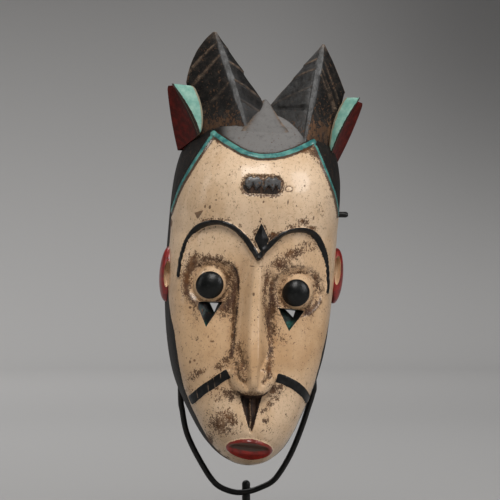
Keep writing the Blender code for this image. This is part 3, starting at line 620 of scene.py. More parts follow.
def unit_ball(around, levels, pole):
    """Rings of a ball of radius 1, a little short of its poles: (sin a cos b, sin a sin b, cos a)."""
    turn = full_turn(around)[None, :]
    tilt = np.linspace(pole, math.pi - pole, levels)[:, None]
    x, y, z = np.sin(tilt) * np.cos(turn), np.sin(tilt) * np.sin(turn), np.cos(tilt) + 0 * turn
    return np.stack([x, y, z], axis=-1)


def shade(piece, degrees):
    """Smooth shading, with an edge left sharp where it turns by more than so many degrees."""
    piece.data.shade_smooth()
    piece.data.set_sharp_from_angle(angle=math.radians(degrees))


# %% [markdown]
# ## Shader building blocks
# A material here is a stack: old wood, paint over it, dirt and painted shade on the paint, and bare places
# where the paint has gone. The parts of the stack that several materials share are node groups, built once:
# ragged brush edges, wear that eats into paint, and the wood itself.


# %% A small helper for wiring nodes
class Wiring:
    """Adds nodes to a node tree; anything given as an input is a socket to link or a value to set."""

    def __init__(self, tree):
        self.tree = tree

    def feed(self, socket, value):
        if isinstance(value, bpy.types.NodeSocket):
            self.tree.links.new(value, socket)
        else:
            socket.default_value = value

    def add(self, kind, inputs=None, **settings):
        made = self.tree.nodes.new(kind)
        for name, value in settings.items():
            setattr(made, name, value)
        for name, value in (inputs or {}).items():
            self.feed(made.inputs[name], value)
        return made

    def math(self, operation, first, second=0.0, clamp=False):
        node = self.add("ShaderNodeMath", {0: first, 1: second}, operation=operation, use_clamp=clamp)
        return node.outputs[0]

    def times(self, first, second, clamp=False):
        return self.math("MULTIPLY", first, second, clamp)

    def plus(self, *values):
        return reduce(lambda total, value: self.math("ADD", total, value), values)

    def minus(self, first, second, clamp=False):
        return self.math("SUBTRACT", first, second, clamp)

    def most(self, *values):
        return reduce(lambda largest, value: self.math("MAXIMUM", largest, value), values)

    def mix(self, share, first, second, blend="MIX"):
        made = self.add("ShaderNodeMix", {0: share, 6: first, 7: second}, data_type="RGBA", blend_type=blend)
        return made.outputs[2]

    def between(self, share, first, second):
        return self.add("ShaderNodeMix", {0: share, 2: first, 3: second}, data_type="FLOAT").outputs[0]

    def overlay(self, value, *layers):
        return reduce(lambda under, layer: self.between(layer[0], under, layer[1]), layers, value)

    def step(self, value, low, high):
        made = self.add("ShaderNodeMapRange", {0: value, 1: low, 2: high}, interpolation_type="SMOOTHSTEP")
        return made.outputs[0]

    def noise(self, vector, scale, detail=3.0, roughness=0.6, distortion=0.0):
        return self.add("ShaderNodeTexNoise", {"Vector": vector, "Scale": scale, "Detail": detail,
                                               "Roughness": roughness, "Distortion": distortion}).outputs[0]

    def spots(self, scale, low, high, detail=3.0, roughness=0.6, stretch=(1, 1, 1)):
        return self.step(self.noise(self.place(stretch), scale, detail, roughness), low, high)

    def place(self, stretch=(1, 1, 1)):
        coordinates = self.add("ShaderNodeTexCoord").outputs["Object"]
        return self.add("ShaderNodeMapping", {"Vector": coordinates, "Scale": stretch}).outputs[0]

    def number(self, name):
        return self.add("ShaderNodeAttribute", attribute_name=name).outputs["Fac"]

    def group(self, tree, inputs=None):
        made = self.tree.nodes.new("ShaderNodeGroup")
        made.node_tree = tree
        for name, value in (inputs or {}).items():
            self.feed(made.inputs[name], value)
        return made.outputs


def new_group(name, inputs, outputs):
    """An empty shader group with named float inputs and float or colour outputs."""
    tree = bpy.data.node_groups.new(name, "ShaderNodeTree")
    for key, value in inputs.items():
        socket = tree.interface.new_socket(key, in_out="INPUT", socket_type="NodeSocketFloat")
        socket.default_value = value
    for key, kind in outputs.items():
        tree.interface.new_socket(key, in_out="OUTPUT", socket_type=kind)
    wiring = Wiring(tree)
    return tree, wiring, wiring.add("NodeGroupInput").outputs, wiring.add("NodeGroupOutput").inputs


# %% [markdown]
# ### Old wood
# The wood is dark, with the grain standing upright in the block. Two noises stretched along z give the
# broad figure and the fine pores; the same pores make the height for the bump.

# %% Group: old wood
old_wood, w, given, result = new_group(
    "old_wood", {"Lightness": 0.5}, {"Color": "NodeSocketColor", "Height": "NodeSocketFloat"})
figure = w.noise(w.place((1, 1, 0.14)), 150, 5, 0.62, 0.6)
pores = w.noise(w.place((1, 1, 0.10)), 900, 3, 0.7)
dark_wood = w.mix(w.step(figure, 0.30, 0.72), (0.020, 0.009, 0.005, 1), (0.115, 0.050, 0.022, 1))
light_wood = w.mix(w.step(figure, 0.30, 0.72), (0.10, 0.045, 0.018, 1), (0.36, 0.20, 0.10, 1))
toned = w.mix(given["Lightness"], dark_wood, light_wood)
w.feed(result["Color"], w.mix(w.step(pores, 0.62, 0.70), toned, (0.012, 0.006, 0.004, 1)))
w.feed(result["Height"], w.plus(w.times(figure, 0.5), w.times(pores, 0.5)))
print("group:", old_wood.name)

# %% [markdown]
# ### Brush edges
# A painted edge is never ruled. The distance inside the area is pushed to and fro by two noises before it is
# cut off, so the edge wavers slowly and frays finely.

# %% Group: brush edge
brush_edge, w, given, result = new_group(
    "brush_edge", {"Distance": 0.0, "Waver": 0.3, "Softness": 0.15}, {"Mask": "NodeSocketFloat"})
slow = w.minus(w.noise(w.place(), 210, 2), 0.5)
fine = w.minus(w.noise(w.place(), 1100, 2), 0.5)
swing = w.times(w.plus(w.times(slow, 3.0), w.times(fine, 2.2)), given["Waver"])
moved = w.plus(given["Distance"], swing)
w.feed(result["Mask"], w.step(w.math("DIVIDE", moved, given["Softness"]), -0.5, 0.5))
print("group:", brush_edge.name)


def brushed(w, distance, waver, softness=0.15):
    """The mask of a painted area, from the distance inside it."""
    return w.group(brush_edge, {"Distance": distance, "Waver": waver, "Softness": softness})[0]


# %% [markdown]
# ### Worn paint
# Paint leaves old wood in flecks that join into patches where hands and cloth have rubbed most. A mixed
# noise is raised by the wear number and cut off, which gives both from one recipe.

# %% Group: worn paint
worn_paint, w, given, result = new_group(
    "worn_paint", {"Wear": 0.0, "Start": 0.68, "Fineness": 1.0}, {"Mask": "NodeSocketFloat"})
place = w.add("ShaderNodeVectorMath", {0: w.place((1, 1, 0.8))}, operation="SCALE")
w.feed(place.inputs["Scale"], given["Fineness"])
coarse = w.noise(place.outputs[0], 240, 4, 0.7, 0.3)
flecks = w.noise(place.outputs[0], 640, 3, 0.65)
mixed = w.plus(w.times(coarse, 0.55), w.times(flecks, 0.45))
raised = w.plus(mixed, w.times(given["Wear"], 0.20))
w.feed(result["Mask"], w.step(w.minus(raised, given["Start"]), 0.0, 0.022))
print("group:", worn_paint.name)


def worn(w, wear, start, fineness=1.0):
    """The mask of the places where the paint has gone."""
    return w.group(worn_paint, {"Wear": wear, "Start": start, "Fineness": fineness})[0]


# %% Starting a material
BUMP_DEPTH = 0.001


def new_material(name, fixed):
    """A material with a Principled shader whose uniform values are set on its own sockets."""
    material = bpy.data.materials.new(name)
    material.use_nodes = True
    shader = material.node_tree.nodes["Principled BSDF"]
    for key, value in fixed.items():
        shader.inputs[key].default_value = value
    return material, Wiring(material.node_tree), shader.inputs


def finish_surface(w, sockets, colour, roughness, height, strength, distance=BUMP_DEPTH):
    """Link colour, roughness and the bumped normal of a material."""
    w.feed(sockets["Base Color"], colour)
    w.feed(sockets["Roughness"], roughness)
    bump = w.add("ShaderNodeBump", {"Height": height, "Strength": strength, "Distance": distance})
    w.feed(sockets["Normal"], bump.outputs[0])


# %% [markdown]
# ### The painted face
# The cream is a thick, varnished ground, darker on the lower face than on the forehead: painted shade for
# the light from above, and some yellowing. Over it lie black, turquoise and red, and the pupils are glossy
# black. Flecks of dark wood show through everywhere. Dirt and painted shade darken the sockets and grooves,
# and dark dirt with painted shadow fills the deepest recesses, such as the notches of the scars and the
# crease under the nose. Each layer is mixed over the one below with its own mask.

# %% Material: painted face
face_paint, w, sockets = new_material("face_paint", {"Coat Roughness": 0.16, "Specular IOR Level": 0.30})
wood = w.group(old_wood, {"Lightness": w.spots(95, 0.42, 0.66, 3)})
blotches = w.spots(34, 0.36, 0.66, 4, 0.6, stretch=(1, 1, 0.7))
cream = w.mix(blotches, (0.76, 0.565, 0.385, 1), (0.64, 0.445, 0.275, 1))
# Painted shade: where the tone is high the cream is darkened, standing in for the light from above, with some
# yellowing.
yellowed_and_shaded = w.mix(1.0, cream, (0.82, 0.73, 0.62, 1), "MULTIPLY")
cream = w.mix(w.number("tone"), cream, yellowed_and_shaded)
streaks = w.spots(420, 0.56, 0.78, 4, 0.65, stretch=(1, 1, 0.16))
cream = w.mix(w.times(streaks, 0.35), cream, (0.42, 0.27, 0.15, 1))
# Dirt and painted shade: the number, broken up by a noise, darkens the cream to brown in the hollows.
cloud = w.minus(w.noise(w.place(), 430, 6, 0.8), 0.5)
soiled_and_shaded = w.plus(w.times(w.number("dirt_and_shade"), 0.8), w.times(cloud, 3.4))
soiled_and_shaded = w.times(w.step(soiled_and_shaded, 0.32, 1.05), 0.90)
colour = w.mix(soiled_and_shaded, cream, (0.070, 0.033, 0.015, 1))
rusty = w.spots(85, 0.50, 0.66, 4, 0.65)
stain = w.times(w.spots(460, 0.53, 0.70, 4, 0.75), 0.62)
colour = w.mix(stain, colour, w.mix(rusty, (0.30, 0.18, 0.095, 1), (0.36, 0.165, 0.055, 1)))

side = brushed(w, w.times(w.number("cream_mm"), -1), 0.5)
side_tone = w.mix(w.spots(300, 0.48, 0.78, 4, 0.7, stretch=(1, 1, 0.4)), (0.006, 0.005, 0.0045, 1),
                  (0.034, 0.021, 0.014, 1))
dusty = w.times(w.number("dust"), w.spots(240, 0.0, 0.52, 5, 0.75), clamp=True)
side_tone = w.mix(dusty, side_tone, (0.165, 0.160, 0.156, 1))
colour = w.mix(side, colour, side_tone)
teal_mm = w.number("teal_mm")
# Painted shade: a dark band in the grooves along the turquoise lines.
groove_shade = brushed(w, w.plus(teal_mm, 1.7), 0.6, 0.9)
colour = w.mix(w.times(groove_shade, 0.9), colour, (0.034, 0.017, 0.010, 1))
teal = brushed(w, teal_mm, 0.3)
teal_tone = w.mix(w.spots(160, 0.35, 0.65, 4), (0.022, 0.135, 0.135, 1), (0.095, 0.290, 0.255, 1))
colour = w.mix(teal, colour, teal_tone)
red = brushed(w, w.number("red_mm"), 0.25)
red_tone = w.mix(w.spots(240, 0.35, 0.7, 3), (0.350, 0.020, 0.012, 1), (0.180, 0.015, 0.010, 1))
lower = w.step(w.number("lower_lip"), 0.0, 1.0)
red_tone = w.mix(lower, w.mix(0.45, red_tone, (0.055, 0.020, 0.014, 1)), red_tone)
colour = w.mix(red, colour, red_tone)
slit = brushed(w, w.number("slit_mm"), 0.4, 0.8)
colour = w.mix(w.times(slit, 0.9), colour, (0.082, 0.052, 0.034, 1))
# Painted shadow with dark dirt: the deepest recesses go nearly black.
deep_dirt_and_shade = w.plus(w.number("deep_dirt_and_shade"), w.times(w.minus(w.noise(w.place(), 520, 4, 0.7), 0.5), 1.3))
deep_dirt_and_shade = w.step(deep_dirt_and_shade, 0.34, 0.60)
upright = w.spots(330, 0.42, 0.64, 3, 0.7, stretch=(1, 1, 0.14))
colour = w.mix(deep_dirt_and_shade, colour, w.mix(upright, (0.013, 0.007, 0.005, 1), (0.058, 0.028, 0.015, 1)))
black = brushed(w, w.most(w.number("black_mm"), w.number("jewel_mm")), 0.28)
black_tone = w.mix(w.spots(260, 0.40, 0.70, 4), (0.003, 0.003, 0.003, 1), (0.012, 0.012, 0.0125, 1))
colour = w.mix(black, colour, black_tone)
crack = brushed(w, w.number("crack_mm"), 0.25, 0.3)
colour = w.mix(w.times(w.times(crack, black), 0.75), colour, (0.30, 0.20, 0.13, 1))
scar = brushed(w, w.number("scar_mm"), 0.45, 0.4)
scar_tone = w.mix(w.spots(420, 0.35, 0.70, 4), (0.040, 0.042, 0.045, 1), (0.110, 0.108, 0.106, 1))
colour = w.mix(scar, colour, scar_tone)

painted_dark = w.most(black, scar, teal, red)
loss = w.minus(w.number("loss"), w.times(painted_dark, 0.55))
bare = worn(w, w.times(loss, 0.86), 0.655, 1.7)
specks = worn(w, w.plus(w.times(loss, 0.8), 0.20), 0.630, 1.45)
marks = brushed(w, w.number("mark_mm"), 0.2, 0.3)
bare = w.most(bare, w.times(specks, 0.85), w.times(marks, 0.8))
bare_tone = w.mix(0.55, wood["Color"], (0.050, 0.018, 0.008, 1))
bare_tone = w.mix(w.times(rusty, 0.45), bare_tone, (0.200, 0.080, 0.022, 1))
colour = w.mix(bare, colour, bare_tone)
pupil = brushed(w, w.number("pupil_mm"), 0.06)
pupil_tone = w.mix(w.spots(380, 0.55, 0.75, 4), (0.0035, 0.004, 0.004, 1), (0.014, 0.015, 0.0145, 1))
colour = w.mix(pupil, colour, pupil_tone)

gloss = w.plus(0.34, w.times(w.noise(w.place(), 420, 4), 0.16))
gloss = w.overlay(gloss, (soiled_and_shaded, 0.55), (black, 0.36), (side, 0.68), (bare, 0.62),
                  (w.times(deep_dirt_and_shade, 0.8), 0.60), (pupil, 0.34))
covered = w.most(bare, side, pupil, deep_dirt_and_shade, black)
coat = w.times(w.minus(1.0, covered, clamp=True), 0.42)
w.feed(sockets["Coat Weight"], coat)
relief = w.plus(w.times(bare, -0.35), w.times(w.noise(w.place((1, 1, 0.5)), 520, 4, 0.6), 0.16),
                w.times(w.noise(w.place(), 120, 2), 0.30), w.times(w.most(painted_dark, pupil), 0.18),
                w.times(w.times(bare, wood["Height"]), 0.3))
finish_surface(w, sockets, colour, gloss, relief, 0.8)
print("material:", face_paint.name, len(face_paint.node_tree.nodes), "nodes")

# %% [markdown]
# ### Black hair
# The lobes are black over brown wood, with a grey sheen painted along the front ridges and, weaker, on the
# inner flanks, rubbed to a tan on the lips of the carved layers, and dusty grey on the flat place between
# them.

# %% Material: hair
hair_paint, w, sockets = new_material("hair_paint", {"Coat Roughness": 0.26, "Specular IOR Level": 0.22})
wood = w.group(old_wood, {"Lightness": 0.22})
mottle = w.spots(230, 0.44, 0.66, 6, 0.78)
colour = w.mix(mottle, (0.0030, 0.0026, 0.0024, 1), (0.020, 0.016, 0.013, 1))
# Painted sheen: the ridge number turns the black grey along the front band and on the inner flank, standing
# for the reflection of the lamps.
ridge = w.number("ridge")
ridge_sheen = w.spots(200, 0.34, 0.66, 5, 0.75, stretch=(1, 1, 0.45))
ridge_sheen = w.mix(ridge_sheen, (0.020, 0.020, 0.020, 1), (0.098, 0.102, 0.106, 1))
colour = w.mix(w.times(ridge, 0.75, clamp=True), colour, ridge_sheen)
dust = w.times(w.number("dust"), w.spots(240, 0.0, 0.52, 5, 0.75), clamp=True)
colour = w.mix(dust, colour, (0.165, 0.160, 0.156, 1))
bare = worn(w, w.number("loss"), 0.655, 1.3)
colour = w.mix(w.times(bare, 0.8), colour, wood["Color"])
rub = w.times(w.number("rub"), w.spots(210, 0.30, 0.62, 4, 0.7), clamp=True)
rub_tone = w.mix(w.spots(330, 0.4, 0.6, 3), (0.120, 0.078, 0.052, 1), (0.250, 0.175, 0.120, 1))
colour = w.mix(rub, colour, rub_tone)
matt = w.number("matt")
gloss = w.overlay(0.38, (mottle, 0.56), (dust, 0.60), (matt, 0.82), (w.most(bare, rub), 0.58))
plain = w.most(dust, matt)
w.feed(sockets["Coat Weight"], w.times(w.minus(1.0, plain, clamp=True), 0.12))
relief = w.plus(w.times(w.noise(w.place(), 430, 5, 0.65), 0.30), w.times(mottle, 0.22), w.times(bare, -0.25))
finish_surface(w, sockets, colour, gloss, relief, 0.9)
print("material:", hair_paint.name, len(hair_paint.node_tree.nodes), "nodes")

# %% [markdown]
# ### Pods, ears, eye holes and bare wood
# The pods are turquoise in front and dark red in the scoop, with a dark rim between that carries a thin
# painted highlight, and tan rubbed along their inner edge. The ears are red with a cream hollow. The eye
# holes were painted dark green, and the back was never painted.

# %% Materials: pods, ears, eye holes, bare wood
pod_paint, w, sockets = new_material("pod_paint", {"Coat Roughness": 0.2, "Specular IOR Level": 0.16})
wood = w.group(old_wood, {"Lightness": 0.65})
green = w.mix(w.spots(170, 0.32, 0.68, 4), (0.150, 0.345, 0.290, 1), (0.280, 0.475, 0.400, 1))
red_tone = w.mix(w.spots(230, 0.35, 0.7, 4), (0.055, 0.006, 0.004, 1), (0.120, 0.010, 0.006, 1))
turquoise = brushed(w, w.minus(w.number("front_mm"), 3.0), 0.45)
scoop = brushed(w, w.minus(-3.2, w.number("front_mm")), 0.4)
colour = w.mix(turquoise, (0.022, 0.014, 0.010, 1), green)
colour = w.mix(scoop, colour, red_tone)
# Painted highlight: a thin tan line along the crest of the dark rim.
rim_highlight = w.minus(0.55, w.math("ABSOLUTE", w.plus(w.number("front_mm"), 0.5)))
rim_highlight = brushed(w, rim_highlight, 0.4, 0.4)
colour = w.mix(w.times(rim_highlight, 0.7), colour, (0.22, 0.13, 0.08, 1))
rubbed = brushed(w, w.minus(1.5, w.number("seam_mm")), 0.5)
colour = w.mix(w.times(rubbed, 0.8), colour, (0.27, 0.19, 0.12, 1))
bare = worn(w, 0.12, 0.66, 1.6)
colour = w.mix(bare, colour, wood["Color"])
gloss = w.between(scoop, 0.50, 0.58)
relief = w.plus(w.times(w.noise(w.place(), 300, 5, 0.65), 0.35), w.times(bare, -0.3))
w.feed(sockets["Coat Weight"], w.times(scoop, 0.05))
finish_surface(w, sockets, colour, gloss, relief, 0.8)

ear_paint, w, sockets = new_material("ear_paint", {"Coat Roughness": 0.2})
wood = w.group(old_wood, {"Lightness": 0.2})
colour = w.mix(w.spots(190, 0.35, 0.7, 4), (0.290, 0.014, 0.011, 1), (0.120, 0.012, 0.009, 1))
bare = worn(w, 0.15, 0.665)
colour = w.mix(bare, colour, wood["Color"])
relief = w.plus(w.times(w.noise(w.place(), 300, 4), 0.3), w.times(bare, -0.3))
w.feed(sockets["Coat Weight"], w.times(w.minus(1.0, bare), 0.35))
finish_surface(w, sockets, colour, w.between(bare, 0.36, 0.6), relief, 0.7)

ear_hollow, w, sockets = new_material("ear_hollow", {})
wood = w.group(old_wood, {"Lightness": 0.4})
bare = worn(w, 0.15, 0.65)
colour = w.mix(w.spots(160, 0.3, 0.7, 4), (0.80, 0.62, 0.44, 1), (0.64, 0.46, 0.30, 1))
colour = w.mix(bare, colour, wood["Color"])
finish_surface(w, sockets, colour, w.between(bare, 0.45, 0.65), w.noise(w.place(), 300, 4), 0.4)

eye_hole, w, sockets = new_material("eye_hole_paint", {})
colour = w.mix(w.spots(210, 0.50, 0.66, 4), (0.006, 0.006, 0.006, 1), (0.014, 0.040, 0.032, 1))
level = w.add("ShaderNodeSeparateXYZ", {0: w.place()}).outputs[2]
foot = w.step(level, hang(np.array((0, 0, 121.5)))[2], hang(np.array((0, 0, 115.5)))[2])
foot = w.times(foot, w.spots(260, 0.40, 0.58, 4, 0.7))
colour = w.mix(foot, colour, (0.030, 0.150, 0.125, 1))
bare = worn(w, 0.4, 0.64)
wood = w.group(old_wood, {"Lightness": 0.1})
colour = w.mix(bare, colour, wood["Color"])
finish_surface(w, sockets, colour, w.between(bare, 0.42, 0.65), w.noise(w.place(), 380, 4), 0.5)

bare_wood, w, sockets = new_material("bare_wood", {"Specular IOR Level": 0.3})
wood = w.group(old_wood, {"Lightness": w.spots(26, 0.40, 0.75, 3)})
soot = w.spots(60, 0.45, 0.70, 5, 0.7, stretch=(1, 1, 0.5))
colour = w.mix(w.times(soot, 0.7), wood["Color"], (0.018, 0.011, 0.007, 1))
adze = w.noise(w.place((1, 1, 0.45)), 78, 2, 0.4)
relief = w.plus(w.times(adze, 1.1), w.times(wood["Height"], 0.35))
finish_surface(w, sockets, colour, w.between(soot, 0.62, 0.5), relief, 0.8)
print("wood materials:", pod_paint.name, ear_paint.name, ear_hollow.name, eye_hole.name, bare_wood.name)

# %% [markdown]
# ## Carving the block
# The face is the smooth form pushed out along its own normals by the carving heights, and closed with a
# flat back. The hollow is the same form drawn in by the thickness of the wall.

# %% Face and hollow
FACE_GRID = (170, 350)
HOLLOW_GRID = (64, 110)


def make_face():
    """The smooth form on a fine grid, moved along its normals by the carving heights."""
    columns, rows = FACE_GRID
    base = np.stack(hull(*disc_grid(columns, rows)), axis=-1)
    normal = np.cross(np.gradient(base, axis=1), np.gradient(base, axis=0))
    normal /= np.maximum(np.linalg.norm(normal, axis=2, keepdims=True), 1e-9)
    flat = base.reshape(-1, 3)
    height = carve(flat) * ease(0.5, 6.0, -flat[:, 1])
    skin = flat + height[:, None] * normal.reshape(-1, 3)
    faces = grid_faces(columns, rows).tolist() + [grid_edge(columns, rows)]
    return make_piece("carved_mask", hang(skin), faces, face_paint, face_numbers(flat, skin))


def make_hollow():
    """The smooth form drawn in by the wall, run out past the back rim, with shallow adze marks. The wall is
    left thicker by a bell of 6 behind each eye."""
    columns, rows = HOLLOW_GRID
    inner = np.stack(hull(*disc_grid(columns, rows), WALL / UNIT), axis=-1).reshape(-1, 3)
    inner[:, 1] += 6 * hump(np.abs(inner[:, 0]), 34, 17) * hump(inner[:, 2], 126, 16)
    inner[:, 1] += 0.35 * wander(inner, 6.5, 8) * ease(2, 14, -inner[:, 1])
    ring = grid_edge(columns, rows)
    behind = inner[ring] + np.array((0, 12, 0))
    first = len(inner)
    step = np.arange(len(ring))
    following = (step + 1) % len(ring)
    corners = np.array(ring)
    wall = np.stack([corners, corners[following], first + following, first + step], axis=-1)
    faces = grid_faces(columns, rows).tolist() + wall.tolist() + [tuple(range(first, first + len(ring)))]
    return make_piece("hollow", hang(np.vstack([inner, behind])), faces, bare_wood)


mask = make_face()
cutters = [make_hollow()]
print("face points:", len(mask.data.vertices))

# %% [markdown]
# ## The hair lobes
# Each lobe is a leaning pyramid with a narrow flat band down its front ridge, on which the material paints a
# grey sheen. The hair is cut as overlapping layers: just above each edge a layer stands out, and it thins
# out upwards. That could be sculpted, but a list of edges, by their height on the ridge and their slope,
# gives the same steps.

# %% Lobe shapes
LOBES = {
    "left_lobe": dict(side=-1, tip=(44.5, 359.6), ridge=24.0, inner=-0.6, wide=70.1, belly=4.6, corner=315,
                      outer_edges=((351, .90, 1.3), (341, .94, 1.5), (318, .95, .9), (300, 1.0, .6)),
                      inner_edges=((349, .9, 1.0), (335.4, .80, 1.5), (320.4, .83, 1.3), (304, .8, .7)),
                      notch=0),
    "right_lobe": dict(side=1, tip=(47.1, 353.6), ridge=37.9, inner=2.7, wide=79.3, belly=1.9, corner=313,
                       outer_edges=((344, 2.06, 1.2), (336.4, 2.16, 1.2), (330.7, 1.9, 1.3), (302, 1.9, .8)),
                       inner_edges=((340.8, .63, 1.4), (332.4, .55, 1.3), (318, .6, .5)), notch=1),
}


def make_lobe(name, side, tip, ridge, inner, wide, belly, corner, outer_edges, inner_edges, notch):
    """Rings of five corners: two edges of the ridge band, the outer edge, the back and the inner edge, all
    running to the tip. A layer adds its height times e^(-distance above its edge / 11)."""
    low, rings = 262.0, 100
    share = np.linspace(0, 0.985, rings)
    z = low + (tip[1] - low) * share
    crown_share = (CROWN - low) / (tip[1] - low)

    def straight(at_crown, at_tip):
        return at_crown + (at_tip - at_crown) * (share - crown_share) / (1 - crown_share)

    drawn_in = (wide - 57) * np.clip((corner - z) / (corner - low), 0, 1) ** 0.8
    outer = tip[0] + (wide - tip[0]) * (1 - share**belly) - drawn_in
    band = 0.9 + 1.9 * ease(0, 0.55, share) * (1 - ease(0.8, 1.0, share))
    ridge_x, front = straight(ridge, tip[0]), -66 + 26 * share
    corners = np.stack([
        np.stack([ridge_x - band, front + 0.2, z], axis=-1),
        np.stack([ridge_x + band, front + 0.2, z], axis=-1),
        np.stack([outer, -35 - 3 * share, z], axis=-1),
        np.stack([tip[0] + (36 - tip[0]) * (1 - share), -6 - 29 * share, z], axis=-1),
        np.stack([np.maximum(straight(inner, tip[0]), -6), -38 - 1 * share, z], axis=-1)], axis=1)
    counts = (5, 38, 10, 10, 38)
    sides, flank, along = [], [], []
    for number, count in enumerate(counts):
        t = np.arange(count) / count
        start, end = corners[:, number, None], corners[:, (number + 1) % 5, None]
        sides.append(start + (end - start) * t[None, :, None])
        flank.append(np.full(count, number))
        along.append(t)
    rows, flank, along = np.concatenate(sides, axis=1), np.concatenate(flank), np.concatenate(along)
    middle = corners.mean(axis=1, keepdims=True)
    outward = rows - middle
    width = np.maximum(np.linalg.norm(outward, axis=2), 1e-6)
    swell = np.where(flank == 0, -0.01, 0.13 * (4 * along * (1 - along)) ** 0.8 - 0.03)
    away = np.abs(rows[:, :, 0] - ridge_x[:, None])
    step = np.zeros(away.shape)
    lips_near = np.zeros(away.shape)
    for wanted, edges in ((1, outer_edges), (4, inner_edges)):
        on_flank = (flank == wanted)[None, :]
        for at_ridge, slope, strong in edges:
            above = z[:, None] + slope * away - at_ridge
            rise = ease(-0.5, 0.5, above) * np.exp(-np.maximum(above, 0) / 11)
            step += np.where(on_flank, 1.5 * strong * rise, 0)
            lips_near += np.where(on_flank, strong * hump(above, 0.4, 0.6), 0)
    if notch:
        cut = hump(z[:, None] + 0.1 * away, 298.6, 1.6) * ease(4, 8, away) * (1 - ease(26, 32, away))
        step -= np.where((flank == 4)[None, :], 2.2 * cut, 0)
    inwards = np.where(flank == 1, 1 - ease(0.80, 1.0, along), 1)
    inwards = inwards * np.where(flank == 4, ease(0.0, 0.2, along), 1)
    step = (step * inwards[None, :] - 0.9 * (flank > 0)) * np.minimum(1, width / 20)
    rows = middle + outward * (1 + swell[None, :, None] + (step / width)[:, :, None])
    rows[:, :, 2] = z[:, None]
    rough = 0.30 * wander(rows, 5.0, 21) * ((flank == 1) | (flank == 4))[None, :]
    rows = rows + outward / width[:, :, None] * rough[:, :, None] * np.minimum(1, width / 14)[:, :, None]
    rows[:, :, 2] = z[:, None]
    edge = np.where(flank == 1, hump(along, 1, 0.05), 0) + np.where(flank == 2, hump(along, 0, 0.25), 0)
    edge = edge + np.where(flank == 4, hump(along, 0, 0.05), 0)
    edge = edge + np.where(flank == 3, hump(along, 1, 0.25), 0)
    tip_rub = 0.6 * hump(share, 1, 0.06)[:, None]
    # The ridge number carries a painted sheen: full on the front band, fading off it, and weaker on the inner
    # flank.
    inner_sheen = 0.34 * ((flank == 4) if side > 0 else (flank == 4) * 0.5)[None, :]
    band_near = np.where((flank == 0)[None, :], 1.0, 0.8 * np.exp(-away / 2.0))
    low_wear = hump(z, 276, 16)[:, None]
    numbers = {
        "rub": (np.clip(0.55 * lips_near, 0, 1.0) + 0.8 * edge[None, :] + tip_rub).ravel(),
        "ridge": np.clip(band_near + inner_sheen * np.ones_like(away), 0, 1).ravel(),
        "loss": (0.06 + 0.62 * low_wear + 0.34 * (flank == 1)[None, :] + 0 * away).ravel(),
        "dust": (0.12 * low_wear + 0 * away).ravel(),
        "matt": (1.0 * (flank == 1)[None, :] + 0 * away).ravel(),
    }
    rows[:, :, 0] *= side
    return loft(name, rows, hair_paint, numbers)


def make_parting():
    """A flat three-cornered face between the lobes: five-cornered sections whose sides close to a point."""
    table = np.array(((262, -16, 14, -64), (270, -21.5, 19, -67.5), (277, -20, 18.2, -66),
                      (284, -14.4, 13, -60), (292, -8.8, 8.4, -52), (300, -2.6, 4.2, -43),
                      (304, -0.6, 1.6, -38)), float)
    levels = np.linspace(262, 304, 47)
    left, right, front = (smooth_table(levels, table[:, 0], table[:, column]) for column in (1, 2, 3))
    t = np.linspace(0, 1, 33)[None, :]
    x = left[:, None] + (right - left)[:, None] * t
    uneven = wander(np.stack([x, x * 0, levels[:, None] + 0 * x], -1), 5, 31)
    y = front[:, None] + 3 * (2 * t - 1) ** 2 + 0.25 * uneven
    face = np.stack([x, y, levels[:, None] + 0 * x], axis=-1)
    back = np.stack([np.stack([side, 0 * levels - 20, levels], -1) for side in (right, left)], 1)
    rows = np.concatenate([face, back], axis=1)
    sides = np.concatenate([hump(t, 0, 0.10) + hump(t, 1, 0.07), np.ones((1, 2))], axis=1)
    numbers = {"rub": (0.95 * sides * ease(262, 276, levels)[:, None]).ravel(),
               "dust": (1.0 - 0.7 * sides + 0 * levels[:, None]).ravel(),
               "loss": (0.10 + 0 * sides + 0 * levels[:, None]).ravel(),
               "ridge": np.zeros(rows.shape[:2]).ravel()}
    return loft("parting", rows, hair_paint, numbers)


growths = [make_lobe(name, **values) for name, values in LOBES.items()] + [make_parting()]
print("lobe points:", [len(made.data.vertices) for made in growths])

# %% [markdown]
# ## Pods and ears
# A pod is drawn from four edges, top and bottom, with a full front face and a scooped outer face. An ear is
# a stretched ball with a smaller stretched ball taken out of its front.

# %% Pods and ears
PODS = {
    "left_pod": (-1, ((60.5, -45, 312), (80.0, -49, 313), (82.5, -40, 311.5), (66, -22, 310)),
                 ((52, -44, 276), (54.5, -47, 272), (69.5, -16, 259), (54, -8, 260))),
    "right_pod": (1, ((66.4, -45, 308.5), (78.5, -53, 308.5), (82.5, -40, 304.5), (68, -22, 306)),
                  ((55.5, -42, 268), (57.5, -45, 262), (65.5, -16, 253), (54, -8, 254))),
}


